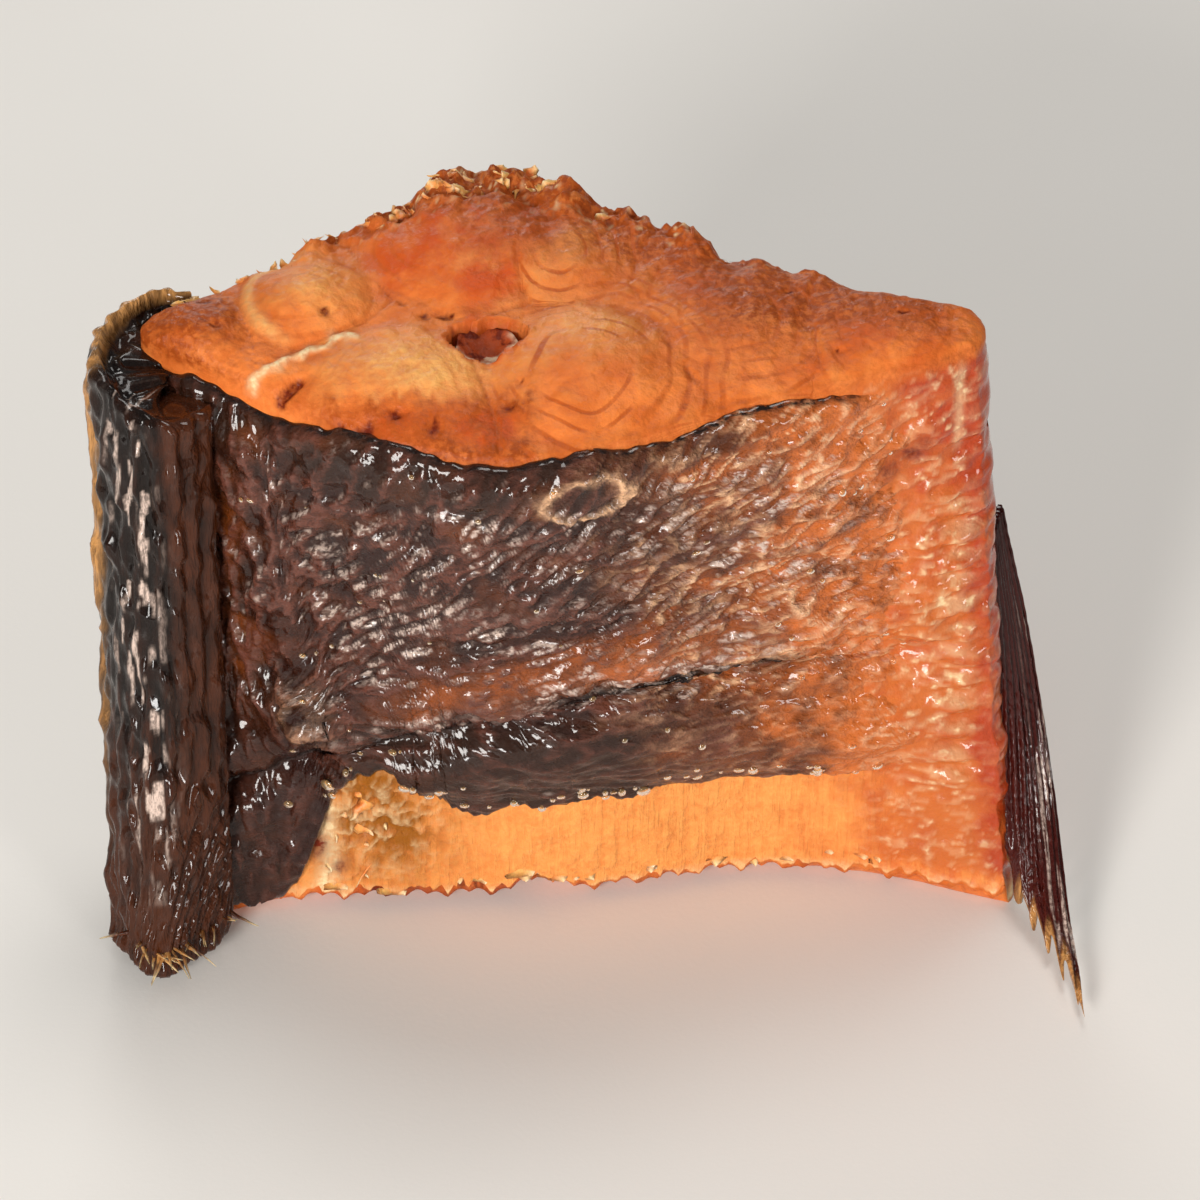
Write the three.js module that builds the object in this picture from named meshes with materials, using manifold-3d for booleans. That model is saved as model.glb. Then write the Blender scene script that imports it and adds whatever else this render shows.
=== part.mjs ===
// A chunk of smoked catfish, cut straight across the rear half of the fish and standing on its
// tail-end cut, so that the head-end cut faces up.
//
// Orange flesh fills the chunk from cut to cut. Dark skin wraps it, and has drawn back from both
// cuts as it dried. The long back fin is folded round the left edge, the belly fin trails off the
// right edge, and the backbone runs from cut to cut.
//
// Millimetres. +X runs from the fish's back to its belly, -Y is the flank that the viewer sees,
// and +Z runs from the tail-end cut up to the head-end cut.
import * as THREE from "three";
import { mergeVertices } from "three/addons/utils/BufferGeometryUtils.js";
import Module from "manifold-3d";

// Driving dimensions
const BACK_X = -43.6; // edge of the back at the head-end cut
const BELLY_X = 46.3; // edge of the belly at the head-end cut
const BACK_SPREAD = 0.6; // how much further out the back edge lies at the tail-end cut
const BELLY_SPREAD = 5.7; // the same for the belly edge
const HEIGHT = 75; // from cut to cut, at the middle of the chunk
const SHOWN_SWELL = 20.7; // how far the shown flank stands off the fish's middle plane
const OTHER_SWELL = 25.5; // the same for the flank behind
const CUT_TILT = 0.065; // rise of the head-end cut for each millimetre away from the viewer
const BACK_CURL = 19; // how far the back edge curls forward at the tail end
const BELLY_CURL = 13.5; // the same for the belly edge
const SKIN_THICK = 1.2;
const FIT_GAP = 0.32; // clearance left between neighbouring solids
const BONE_RADIUS = 3.5;
const VERTEBRA = 9.2; // length of one vertebra
const BACK_FIN_THICK = 1.7;
const BELLY_FIN_THICK = 1.3;
const FLOOR_CLEAR = 0.6; // lowest point of everything but the flesh

// Colours of the smoked fish, seen dry and cold
const FLESH = { color: 0xdf7f44, roughness: 0.45 };
const SKIN = { color: 0x4d2719, roughness: 0.3 };
const BACK_FIN = { color: 0x2b1b17, roughness: 0.25 };
const BELLY_FIN = { color: 0x5c3126, roughness: 0.3 };
const BONE = { color: 0xe6cda9, roughness: 0.5 };

const { lerp, clamp, smoothstep } = THREE.MathUtils;

// A smooth curve through [x, value] pairs, read at x.
function through(pairs, x) {
  const last = pairs.length - 1;
  if (x <= pairs[0][0]) return pairs[0][1];
  if (x >= pairs[last][0]) return pairs[last][1];
  const i = pairs.findIndex((p) => p[0] > x) - 1;
  const slope = (k) => {
    const a = pairs[Math.max(k - 1, 0)];
    const b = pairs[Math.min(k + 1, last)];
    return (b[1] - a[1]) / (b[0] - a[0]);
  };
  const [x0, v0] = pairs[i];
  const [x1, v1] = pairs[i + 1];
  const h = x1 - x0;
  const u = (x - x0) / h;
  return (
    v0 * (1 + 2 * u) * (1 - u) ** 2 +
    slope(i) * h * u * (1 - u) ** 2 +
    v1 * u * u * (3 - 2 * u) +
    slope(i + 1) * h * u * u * (u - 1)
  );
}

// Half thickness of each flank as a share of its swell, from the back (0) to the belly (1)
const SHOWN_PROFILE = [
  [0, 0.1],
  [0.06, 0.24],
  [0.14, 0.45],
  [0.22, 0.7],
  [0.32, 0.91],
  [0.45, 1],
  [0.57, 0.88],
  [0.68, 0.65],
  [0.79, 0.48],
  [0.89, 0.33],
  [0.95, 0.25],
  [1, 0.14],
];
const OTHER_PROFILE = [
  [0, 0.09],
  [0.06, 0.22],
  [0.14, 0.41],
  [0.22, 0.61],
  [0.32, 0.86],
  [0.42, 1],
  [0.57, 0.8],
  [0.68, 0.56],
  [0.79, 0.38],
  [0.89, 0.25],
  [0.95, 0.19],
  [1, 0.13],
];
// Share of the swell that is left at each height, from the tail-end cut (0) to the head-end cut (1)
const SHOWN_TAPER = [
  [0, 0.7],
  [0.25, 0.78],
  [0.5, 0.85],
  [0.8, 0.95],
  [0.94, 1],
  [1, 0.93],
];
const OTHER_TAPER = [
  [0, 0.92],
  [0.3, 0.97],
  [0.7, 1],
  [0.94, 1.01],
  [1, 0.95],
];

// Folds of the skin. Each follows a line through [x, z] points, or [z, x] points where it is
// upright, and stands off the flank by its height.
const SHOWN_FOLDS = [
  { height: -1.8, width: 2.8, line: [[-37, 18], [-13, 30.5], [5, 36], [24, 35.5], [41, 34]] },
  { height: 1.3, width: 4.4, line: [[-34, 25], [-12, 37.5], [6, 43], [24, 43], [40, 41]] },
  { height: 2, width: 5, line: [[-21, 23.5], [-4, 28], [10, 27.5], [22, 24.5], [38, 24]] },
  { height: 0.9, width: 4, line: [[-24, 60], [-6, 55], [12, 60], [30, 57]] },
  { height: 1.5, width: 2.8, upright: true, line: [[32, -26.5], [48, -30.5], [66, -33.5]] },
  { height: -1.5, width: 3.2, upright: true, line: [[27, -35], [44, -37.5], [64, -38.5]] },
  { height: -0.9, width: 2.8, upright: true, line: [[18, 39], [46, 38.5], [70, 38]] },
];
const OTHER_FOLDS = [
  { height: 1.6, width: 3.8, line: [[-34, 22], [-10, 30], [14, 26], [38, 31]] },
  { height: -1.4, width: 3, line: [[-32, 31], [-8, 38], [16, 35], [36, 40]] },
  { height: 1.3, width: 4, line: [[-26, 58], [-4, 50], [18, 55], [34, 50]] },
  { height: -1.2, width: 3.4, upright: true, line: [[18, -37], [40, -35], [60, -37]] },
];
const FOLD_FADE = 6; // length over which a fold dies out at each end

function foldRelief(x, z, folds) {
  let sum = 0;
  for (const f of folds) {
    const [run, off] = f.upright ? [z, x] : [x, z];
    const first = f.line[0][0];
    const last = f.line[f.line.length - 1][0];
    const away = (off - through(f.line, run)) / f.width;
    const fade =
      smoothstep(run, first - FOLD_FADE, first) * (1 - smoothstep(run, last, last + FOLD_FADE));
    sum += f.height * fade * Math.exp(-away * away);
  }
  return sum;
}

// Small knobs along the belly ridge, where the rays of the belly fin are rooted
const KNOBS = { x: 45.5, width: 2.6, pitch: 3.4, height: 0.55, from: 16, to: 54 };
function rayKnobs(x, z) {
  const across = Math.exp(-(((x - KNOBS.x) / KNOBS.width) ** 2));
  const along = smoothstep(z, KNOBS.from - 4, KNOBS.from + 4) * smoothstep(-z, -KNOBS.to - 4, -KNOBS.to);
  return KNOBS.height * across * along * Math.cos((2 * Math.PI * z) / KNOBS.pitch);
}

// Rounded blocks of muscle on the head-end cut: centre, radius and how far each swells
const MUSCLE_BLOCKS = [
  { x: -38.5, y: -1, radius: 5.5, swell: 1.6 },
  { x: -27, y: 4, radius: 7.5, swell: 2.2 },
  { x: -17, y: -11, radius: 11, swell: 2 },
  { x: -10, y: 13, radius: 10, swell: 2.2 },
  { x: 1, y: 11, radius: 7, swell: 1.2 },
  { x: 4, y: -8, radius: 11, swell: 2.3 },
  { x: 19, y: 1, radius: 9, swell: 0.9 },
  { x: 36, y: 0, radius: 8, swell: 0.7 },
];
const BONE_X = -7;
const BONE_Y = -2.6;

// Height of the head-end cut over a point of the chunk. rim is 1 at the cut's edge.
function cutHeight(x, y, rim) {
  let swell = 0;
  for (const m of MUSCLE_BLOCKS) {
    const d = Math.hypot(x - m.x, y - m.y) / m.radius;
    swell += m.swell * Math.max(0, 1 - d * d);
  }
  const behind = smoothstep(y, 3, 12) * rim ** 4;
  const torn = behind * (0.8 * Math.sin(x * 0.9) + 0.7 * Math.sin(x * 0.47 + 1));
  const frill = behind * 1.8 * Math.exp(-(((x + 8) / 10) ** 2));
  return HEIGHT + CUT_TILT * y + swell * (1 - rim ** 3) - 1.1 * rim ** 6 + torn + frill;
}

// Lower edge of the shown flank, where the flesh tore off the next chunk
function tornEdge(x) {
  const steps = 0.9 * Math.abs(Math.sin(x * 0.55 + 0.6)) + 0.8 * Math.abs(Math.sin(x * 1.3));
  const notch = 2.2 * Math.exp(-(((x + 1.5) / 2.6) ** 2));
  return FLOOR_CLEAR + steps + notch;
}

const backX = (t) => BACK_X - BACK_SPREAD * (1 - t);
const bellyX = (t) => BELLY_X + BELLY_SPREAD * (1 - t);

// Middle plane of the fish: both edges curl towards the viewer near the tail end.
function middleY(s, t) {
  const curl = s < 0.5 ? BACK_CURL : BELLY_CURL;
  return -curl * (1 - t) ** 1.4 * Math.abs(2 * s - 1) ** 2.2;
}

// A point of the body. s runs from back to belly, n from the shown flank (-1) to the other (1),
// and t from the tail-end cut to the head-end cut.
const END_ROUND = 1.2; // how far the rounded back and belly edges stand out
function bodyPoint(s, n, t) {
  const end = (s ** 24 - (1 - s) ** 24) * END_ROUND * (1 - n * n);
  const x = lerp(backX(t), bellyX(t), s) + end;
  const rise = t * HEIGHT;
  const shown = n < 0;
  const swell = shown
    ? SHOWN_SWELL * through(SHOWN_PROFILE, s) * through(SHOWN_TAPER, t)
    : OTHER_SWELL * through(OTHER_PROFILE, s) * through(OTHER_TAPER, t);
  const relief = shown
    ? foldRelief(x, rise, SHOWN_FOLDS) + rayKnobs(x, rise)
    : foldRelief(x, rise, OTHER_FOLDS);
  const fade = smoothstep(t, 0, 0.08) * (1 - smoothstep(t, 0.88, 0.97));
  const y = middleY(s, t) + n * (swell + relief * fade);
  const z = t * cutHeight(x, y, Math.max(Math.abs(n), Math.abs(2 * s - 1) ** 8));
  const torn = shown ? tornEdge(x) * (1 - t) ** 12 * smoothstep(-n, 0.7, 1) : 0;
  return new THREE.Vector3(x, y, z + torn);
}

// Stations of the grid that the body is built on: from back to belly, from tail to head, and
// across the cuts
const ACROSS = Array.from({ length: 35 }, (_, i) => i / 34);
const ALONG = [0, 0.06, 0.13, 0.2, 0.27, 0.34, 0.41, 0.48, 0.56, 0.65, 0.75, 0.85, 0.93, 0.975, 1];
const THROUGH = [-1, -0.82, -0.5, -0.2, 0.1, 0.4, 0.65, 0.85, 1];

// One face of the grid as triangles: at(i, j) is a point, and the face looks along i x j.
function addGrid(out, ni, nj, at) {
  for (let i = 0; i + 1 < ni; i++)
    for (let j = 0; j + 1 < nj; j++) {
      const [a, b, c, d] = [at(i, j), at(i + 1, j), at(i + 1, j + 1), at(i, j + 1)];
      for (const p of [a, b, c, a, c, d]) out.push(p.x, p.y, p.z);
    }
}

function closedGeometry(positions) {
  const g = new THREE.BufferGeometry();
  g.setAttribute("position", new THREE.Float32BufferAttribute(positions, 3));
  return mergeVertices(g, 1e-4);
}

// The six faces of a block of grid stations, as one closed surface
function blockGeometry(ni, nj, nk, at) {
  const out = [];
  addGrid(out, ni, nk, (i, k) => at(i, 0, k));
  addGrid(out, nk, ni, (k, i) => at(i, nj - 1, k));
  addGrid(out, nk, nj, (k, j) => at(0, j, k));
  addGrid(out, nj, nk, (j, k) => at(ni - 1, j, k));
  addGrid(out, ni, nj, (i, j) => at(i, j, nk - 1));
  addGrid(out, nj, ni, (j, i) => at(i, j, 0));
  return closedGeometry(out);
}

const bodyGrid = blockGeometry(ACROSS.length, THROUGH.length, ALONG.length, (i, j, k) =>
  bodyPoint(ACROSS[i], THROUGH[j], ALONG[k]),
);

// The body's surface moved out along its normals
function grownBody(distance) {
  const g = bodyGrid.clone();
  g.computeVertexNormals();
  const p = g.getAttribute("position");
  const n = g.getAttribute("normal");
  for (let i = 0; i < p.count; i++)
    p.setXYZ(
      i,
      p.getX(i) + n.getX(i) * distance,
      p.getY(i) + n.getY(i) * distance,
      p.getZ(i) + n.getZ(i) * distance,
    );
  g.deleteAttribute("normal");
  return g;
}

const wasm = await Module();
wasm.setup();

function solid(geometry) {
  const plain = geometry.clone();
  for (const name of Object.keys(plain.attributes))
    if (name !== "position") plain.deleteAttribute(name);
  const g = mergeVertices(plain, 1e-4);
  return new wasm.Manifold(
    new wasm.Mesh({
      numProp: 3,
      vertProperties: new Float32Array(g.getAttribute("position").array),
      triVerts: new Uint32Array(g.index.array),
    }),
  );
}

function largestPiece(manifold) {
  return manifold.decompose().reduce((a, b) => (a.volume() > b.volume() ? a : b));
}

function geometryOf(manifold) {
  const m = manifold.getMesh();
  const g = new THREE.BufferGeometry();
  g.setAttribute("position", new THREE.BufferAttribute(new Float32Array(m.vertProperties), 3));
  g.setIndex(new THREE.BufferAttribute(new Uint32Array(m.triVerts), 1));
  const flat = g.toNonIndexed();
  flat.computeVertexNormals();
  return flat;
}

function named(name, finish, manifold) {
  const mesh = new THREE.Mesh(geometryOf(manifold), new THREE.MeshStandardMaterial(finish));
  mesh.name = name;
  return mesh;
}

// Backbone: a row of waisted vertebrae, its head end sunk a little below the flesh
const BONE_SIDES = 10;
const BONE_TOP = HEIGHT - 3.2;
function boneGeometry(top, bottom) {
  const profile = [new THREE.Vector2(0, bottom)];
  const steps = 2 * Math.round((top - bottom) / VERTEBRA);
  for (let i = 0; i <= steps; i++)
    profile.push(new THREE.Vector2(BONE_RADIUS * (i % 2 ? 0.8 : 1), lerp(bottom, top, i / steps)));
  profile.push(new THREE.Vector2(0, top));
  return new THREE.LatheGeometry(profile, BONE_SIDES)
    .rotateX(Math.PI / 2)
    .translate(BONE_X, BONE_Y, 0);
}

function boneTunnel() {
  const radius = BONE_RADIUS + FIT_GAP;
  return new THREE.CylinderGeometry(radius, radius, 2 * HEIGHT, BONE_SIDES)
    .rotateX(Math.PI / 2)
    .translate(BONE_X, BONE_Y, HEIGHT / 2);
}

// Skin: a jacket round both flanks and the back, open along the belly ridge
const SKIN_END = 0.87; // share of the way to the belly where the skin stops
function skinTop(x, shown) {
  const ripple = 0.7 * Math.sin(x * 0.31 + 1) + 0.4 * Math.sin(x * 0.9);
  return (shown ? 71.6 : 74) + ripple - (shown ? 1.6 * smoothstep(-x, 18, 34) : 0);
}
function skinBottom(x, shown) {
  const ripple = 0.4 * Math.sin(x * 0.8);
  if (!shown) return 3.2 + 2 * ripple;
  const drawnBack = lerp(15, 18, smoothstep(x, -24, 2)) - 2 * smoothstep(x, 22, 42);
  return lerp(1.5, drawnBack, smoothstep(x, -31, -24.5)) + ripple;
}

const SKIN_ROWS = 13;
const SKIN_INSET = 3; // depth inside the flesh of the jacket that the skin is cut from
function jacketGeometry(grow) {
  // Columns of the jacket: [s, n] from the shown flank's belly side round the back
  const columns = [];
  const flank = ACROSS.filter((s) => s <= SKIN_END + 1e-9);
  for (const s of [...flank].reverse()) columns.push([s, -1]);
  for (const n of THROUGH.slice(1, -1)) columns.push([0, n]);
  for (const s of flank) columns.push([s, 1]);
  const onBody = (s, n, z) => {
    let [low, high] = [0, 1];
    for (let k = 0; k < 24; k++) {
      const mid = (low + high) / 2;
      if (bodyPoint(s, n, mid).z < z) low = mid;
      else high = mid;
    }
    return bodyPoint(s, n, (low + high) / 2);
  };
  const lastRow = SKIN_ROWS - 1;
  const grid = columns.map(([s, n], i) => {
    const x = lerp(BACK_X, BELLY_X, s);
    const blend = i < flank.length ? 0 : clamp((n + 1) / 2, 0, 1);
    const low = lerp(skinBottom(x, true), skinBottom(x, false), blend) - grow;
    const high = lerp(skinTop(x, true), skinTop(x, false), blend) + grow;
    return Array.from({ length: SKIN_ROWS }, (_, j) => onBody(s, n, lerp(low, high, j / lastRow)));
  });
  const normalAt = (i, j) => {
    const [before, after] = [Math.max(i - 1, 0), Math.min(i + 1, grid.length - 1)];
    const [below, above] = [Math.max(j - 1, 0), Math.min(j + 1, lastRow)];
    const along = grid[after][j].clone().sub(grid[before][j]);
    const up = grid[i][above].clone().sub(grid[i][below]);
    return up.cross(along).normalize();
  };
  const offset = [-SKIN_INSET, FIT_GAP + SKIN_THICK + grow];
  return blockGeometry(grid.length, 2, SKIN_ROWS, (i, j, k) =>
    grid[i][k].clone().addScaledVector(normalAt(i, k), offset[j]),
  );
}

// A bent sheet with ribs: at(u, v) is its middle surface, and thick(u, v) its thickness
function sheetGeometry(nu, nv, at, thick) {
  const step = 1e-3; // for the surface's own directions
  const point = (i, side, k) => {
    const u = i / (nu - 1);
    const v = k / (nv - 1);
    const du = at(Math.min(u + step, 1), v).sub(at(Math.max(u - step, 0), v));
    const dv = at(u, Math.min(v + step, 1)).sub(at(u, Math.max(v - step, 0)));
    const normal = dv.cross(du).normalize();
    return at(u, v).addScaledVector(normal, (side - 0.5) * thick(u, v));
  };
  return blockGeometry(nu, 2, nv, point);
}

// Back fin: folded round the left edge. u runs round the fold and v up the fish.
const BACK_FOLD = new THREE.CatmullRomCurve3([
  new THREE.Vector3(-39.5, 5.6, 0),
  new THREE.Vector3(-43.5, 6, 0),
  new THREE.Vector3(-47.5, 2.6, 0),
  new THREE.Vector3(-49, -3.5, 0),
  new THREE.Vector3(-46.6, -9.6, 0),
  new THREE.Vector3(-41.8, -11.6, 0),
  new THREE.Vector3(-37, -7.8, 0),
]);
const FOLD_CLOSES = 0.2; // share by which the shown side of the fold lies closer at the tail end
const FOLD_OPENS = 0.35; // share by which its other side stands further off there
function backFinPoint(u, v) {
  const top = lerp(74.6, 70.5, smoothstep(u, 0.5, 1));
  const ragged = 0.7 * Math.abs(Math.sin(u * 13));
  const z = lerp(FLOOR_CLEAR + 0.2 + ragged, top, v);
  const t = clamp(z / HEIGHT, 0, 1);
  const p = BACK_FOLD.getPoint(u);
  const s = clamp((p.x - backX(t)) / (bellyX(t) - backX(t)), 0, 1);
  const offset = p.y * (1 + (p.y < 0 ? -FOLD_CLOSES : FOLD_OPENS) * (1 - t));
  return new THREE.Vector3(p.x, offset + middleY(s, t), z);
}
const backFinThick = (u, v) => BACK_FIN_THICK * (0.8 + 0.2 * Math.cos(u * 40)) * (0.8 + 0.2 * v);

// Belly fin: hangs between the belly ridge and its first ray, whose tip lies forward
const FIRST_RAY = new THREE.CatmullRomCurve3([
  new THREE.Vector3(50.2, 0, 48.5),
  new THREE.Vector3(54.2, -2, 30),
  new THREE.Vector3(57.4, -9.5, 12.8),
  new THREE.Vector3(59.2, -22, 3),
  new THREE.Vector3(60.2, -34.5, FLOOR_CLEAR + 0.9),
]);
const BELLY_FIN_ROOT = 46; // height where the fin starts to leave the ridge
function bellyFinPoint(u, v) {
  const z = lerp(BELLY_FIN_ROOT, FLOOR_CLEAR + 0.9, u);
  const t = z / HEIGHT;
  const root = new THREE.Vector3(bellyX(t) + 0.3, middleY(1, t), z);
  return root.lerp(FIRST_RAY.getPoint(u), v);
}
const bellyFinThick = (u, v) => BELLY_FIN_THICK * (0.8 + 0.2 * Math.cos(v * 30)) * (1 - 0.4 * v);

const flesh = solid(bodyGrid).subtract(solid(boneTunnel()));
const besideFlesh = solid(grownBody(FIT_GAP));
const besideSkin = solid(jacketGeometry(1.5 * FIT_GAP));
const skin = solid(jacketGeometry(0)).subtract(besideFlesh);
const backFin = solid(sheetGeometry(17, 9, backFinPoint, backFinThick))
  .subtract(besideFlesh)
  .subtract(besideSkin);
const bellyFin = solid(sheetGeometry(15, 7, bellyFinPoint, bellyFinThick)).subtract(besideFlesh);

const chunk = new THREE.Group();
chunk.add(
  named("flesh", FLESH, largestPiece(flesh)),
  named("skin", SKIN, largestPiece(skin)),
  named("back_fin", BACK_FIN, largestPiece(backFin)),
  named("belly_fin", BELLY_FIN, largestPiece(bellyFin)),
  named("backbone", BONE, solid(boneGeometry(BONE_TOP, FLOOR_CLEAR))),
);

// The origin is under the middle of the chunk's bounding box, on the surface it stands on.
const box = new THREE.Box3().setFromObject(chunk);
const middle = box.getCenter(new THREE.Vector3());
chunk.position.set(-middle.x, -middle.y, -box.min.z);
const smokedFish = new THREE.Group();
smokedFish.add(chunk);

export default smokedFish;
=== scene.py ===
"""A chunk of smoked catfish on its tail-end cut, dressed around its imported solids.

Sizes named without a unit are millimetres in the chunk's own axes: +X runs from the fish's back
to its belly, -Y is the flank that the viewer sees, and +Z runs from the tail-end cut up.
"""

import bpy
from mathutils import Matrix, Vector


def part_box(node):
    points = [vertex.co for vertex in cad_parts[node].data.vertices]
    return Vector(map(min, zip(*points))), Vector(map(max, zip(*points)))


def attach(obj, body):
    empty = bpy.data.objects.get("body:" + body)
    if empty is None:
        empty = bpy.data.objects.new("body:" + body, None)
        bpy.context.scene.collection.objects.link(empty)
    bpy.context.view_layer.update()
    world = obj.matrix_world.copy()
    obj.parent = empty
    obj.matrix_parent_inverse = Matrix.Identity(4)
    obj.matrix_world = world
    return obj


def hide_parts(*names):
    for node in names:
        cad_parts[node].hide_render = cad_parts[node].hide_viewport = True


bl_info = {
    "name": "Smoked fish",
    "version": (1, 0, 0),
    "blender": (4, 5, 0),
    "location": "3D View > Sidebar > Smoked fish",
    "description": "Builds a chunk of smoked catfish around its packed solids",
    "category": "Add Mesh",
}

import math
from functools import lru_cache
from itertools import product

import bpy
import numpy as np
from mathutils import Vector

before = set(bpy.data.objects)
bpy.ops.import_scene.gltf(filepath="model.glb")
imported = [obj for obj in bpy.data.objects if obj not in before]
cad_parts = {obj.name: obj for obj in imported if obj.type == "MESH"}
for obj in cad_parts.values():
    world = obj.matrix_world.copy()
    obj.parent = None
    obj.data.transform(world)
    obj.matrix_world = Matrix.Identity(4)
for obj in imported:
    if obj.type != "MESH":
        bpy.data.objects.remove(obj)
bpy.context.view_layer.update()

MM = 0.001

# Driving sizes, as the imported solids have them
BACK_X = -43.6
BELLY_X = 46.3
BACK_SPREAD = 0.6  # how much further out the back and the belly lie at the floor
BELLY_SPREAD = 5.7
HEIGHT = 75
SHOWN_SWELL = 20.7  # from the middle to each flank, where it is fattest
OTHER_SWELL = 25.5
CUT_TILT = 0.065  # how steeply the head-end cut rises away from the viewer
BACK_CURL = 19  # how far the lower corners curl towards the viewer
BELLY_CURL = 13.5
SKIN_STANDS = 1.52
BONE_X = -7
BONE_Y = -2.6
BONE_RADIUS = 3.5
BACK_FIN_THICK = 1.7
FLOOR_CLEAR = 0.6
END_ROUND = 1.2
FIN_ROUND = 1.2  # how far in from its edges the back fin rounds over

# Each flank's swell from back to belly, and its taper from the floor up, as (share, value)
SHOWN_PROFILE = [
    (0, 0.1), (0.06, 0.24), (0.14, 0.45), (0.22, 0.7), (0.32, 0.91), (0.45, 1),
    (0.57, 0.88), (0.68, 0.65), (0.79, 0.48), (0.89, 0.33), (0.95, 0.25), (1, 0.14),
]
OTHER_PROFILE = [
    (0, 0.09), (0.06, 0.22), (0.14, 0.41), (0.22, 0.61), (0.32, 0.86), (0.42, 1),
    (0.57, 0.8), (0.68, 0.56), (0.79, 0.38), (0.89, 0.25), (0.95, 0.19), (1, 0.13),
]
SHOWN_TAPER = [(0, 0.7), (0.25, 0.78), (0.5, 0.85), (0.8, 0.95), (0.94, 1), (1, 0.93)]
OTHER_TAPER = [(0, 0.92), (0.3, 0.97), (0.7, 1), (0.94, 1.01), (1, 0.95)]

# Folds of the skin: height, width, whether upright, and the line that each follows
SHOWN_FOLDS = [
    (-1.8, 2.8, False, [(-37, 18), (-13, 30.5), (5, 36), (24, 35.5), (41, 34)]),
    (1.3, 4.4, False, [(-34, 25), (-12, 37.5), (6, 43), (24, 43), (40, 41)]),
    (2, 5, False, [(-21, 23.5), (-4, 28), (10, 27.5), (22, 24.5), (38, 24)]),
    (0.9, 4, False, [(-24, 60), (-6, 55), (12, 60), (30, 57)]),
    (1.5, 2.8, True, [(32, -26.5), (48, -30.5), (66, -33.5)]),
    (-1.5, 3.2, True, [(27, -35), (44, -37.5), (64, -38.5)]),
    (-0.9, 2.8, True, [(18, 39), (46, 38.5), (70, 38)]),
]
OTHER_FOLDS = [
    (1.6, 3.8, False, [(-34, 22), (-10, 30), (14, 26), (38, 31)]),
    (-1.4, 3, False, [(-32, 31), (-8, 38), (16, 35), (36, 40)]),
    (1.3, 4, False, [(-26, 58), (-4, 50), (18, 55), (34, 50)]),
    (-1.2, 3.4, True, [(18, -37), (40, -35), (60, -37)]),
]
FOLD_FADE = 6  # how far a fold runs on past the ends of its line

KNOB_X = 45.5
KNOB_WIDTH = 2.6
KNOB_PITCH = 3.4
KNOB_HEIGHT = 0.55

# Blocks of muscle on the cut: centre, radius, swell, and how clearly its rings show
MUSCLE_BLOCKS = [
    (-38.5, -1, 5.5, 1.6, 0.3),
    (-27, 4, 7.5, 2.2, 0.35),
    (-17, -11, 11, 2, 0.2),
    (-10, 13, 10, 2.2, 0.3),
    (1, 11, 7, 1.2, 1),
    (4, -8, 11, 2.3, 0.9),
    (19, 1, 9, 0.9, 0.75),
    (36, 0, 8, 0.7, 0.5),
]


def smoothstep(value, low, high):
    """A soft step from 0 at low to 1 at high."""
    share = np.clip((value - low) / (high - low), 0, 1)
    return share * share * (3 - 2 * share)


def lerp(first, second, share):
    """From the first value to the second as the share goes from 0 to 1."""
    return first + (second - first) * share


def bump(value, centre, width):
    """A soft bump of height 1 round a centre."""
    return np.exp(-(((value - centre) / width) ** 2))


def round_over(share):
    """Height of a rounded edge, from 0 at its outer side to 1 where it meets the flat."""
    return np.sqrt(1 - (1 - np.clip(share, 0, 1)) ** 2)


def through(pairs, x):
    """A smooth curve through (x, value) pairs, read at each x."""
    xs, values = np.array(pairs, float).T
    slopes = np.gradient(values)
    slopes[1:-1] = (values[2:] - values[:-2]) / (xs[2:] - xs[:-2])
    slopes[0] = (values[1] - values[0]) / (xs[1] - xs[0])
    slopes[-1] = (values[-1] - values[-2]) / (xs[-1] - xs[-2])
    x = np.clip(x, xs[0], xs[-1])
    i = np.clip(np.searchsorted(xs, x, side="right") - 1, 0, len(xs) - 2)
    h = xs[i + 1] - xs[i]
    u = (x - xs[i]) / h
    return (
        values[i] * (1 + 2 * u) * (1 - u) ** 2
        + slopes[i] * h * u * (1 - u) ** 2
        + values[i + 1] * u * u * (3 - 2 * u)
        + slopes[i + 1] * h * u * u * (u - 1)
    )


def along_path(path, share):
    """Coordinates of the points at a share of a smooth path through some corners."""
    run = share * (len(path) - 1)
    return [through(list(enumerate(values)), run) for values in zip(*path)]


def hashed(cells, seed, pick):
    """A number from -1 to 1 for each cell, the same on each run."""
    # Large whole numbers stir the bits of the cell's place, and the last step keeps 16 of them
    mixed = (cells[..., 0] * 73856093) ^ (cells[..., 1] * 19349663) ^ (cells[..., 2] * 83492791)
    mixed = (mixed ^ (seed * 2654435 + pick * 975317)) & 0xFFFFFFFF
    mixed = (mixed * 1664525 + 1013904223) & 0xFFFFFFFF
    mixed = mixed ^ (mixed >> 15)
    mixed = (mixed * 22695477 + 1) & 0xFFFFFFFF
    return ((mixed >> 8) & 0xFFFF) / 32767.5 - 1


def noise(x, y, z, seed):
    """Gradient noise from about -1 to 1, in cells of size 1."""
    points = np.stack(np.broadcast_arrays(x, y, z), -1).astype(float)
    cells = np.floor(points).astype(np.int64)
    inside = points - cells
    blend = inside**3 * (inside * (inside * 6 - 15) + 10)
    total = 0
    for corner in product((0, 1), repeat=3):
        spot = cells + np.array(corner)
        weight = np.prod(np.where(corner, blend, 1 - blend), -1)
        away = inside - np.array(corner)
        total = total + weight * sum(hashed(spot, seed, a) * away[..., a] for a in range(3))
    return 1.5 * total


def layered(x, y, z, seed, octaves=3):
    """Noise of several sizes, each half as large and half as strong as the last."""
    return sum(
        noise(x * 2**k, y * 2**k, z * 2**k + 7.3 * k, seed + k) / 2**k for k in range(octaves)
    )


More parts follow.
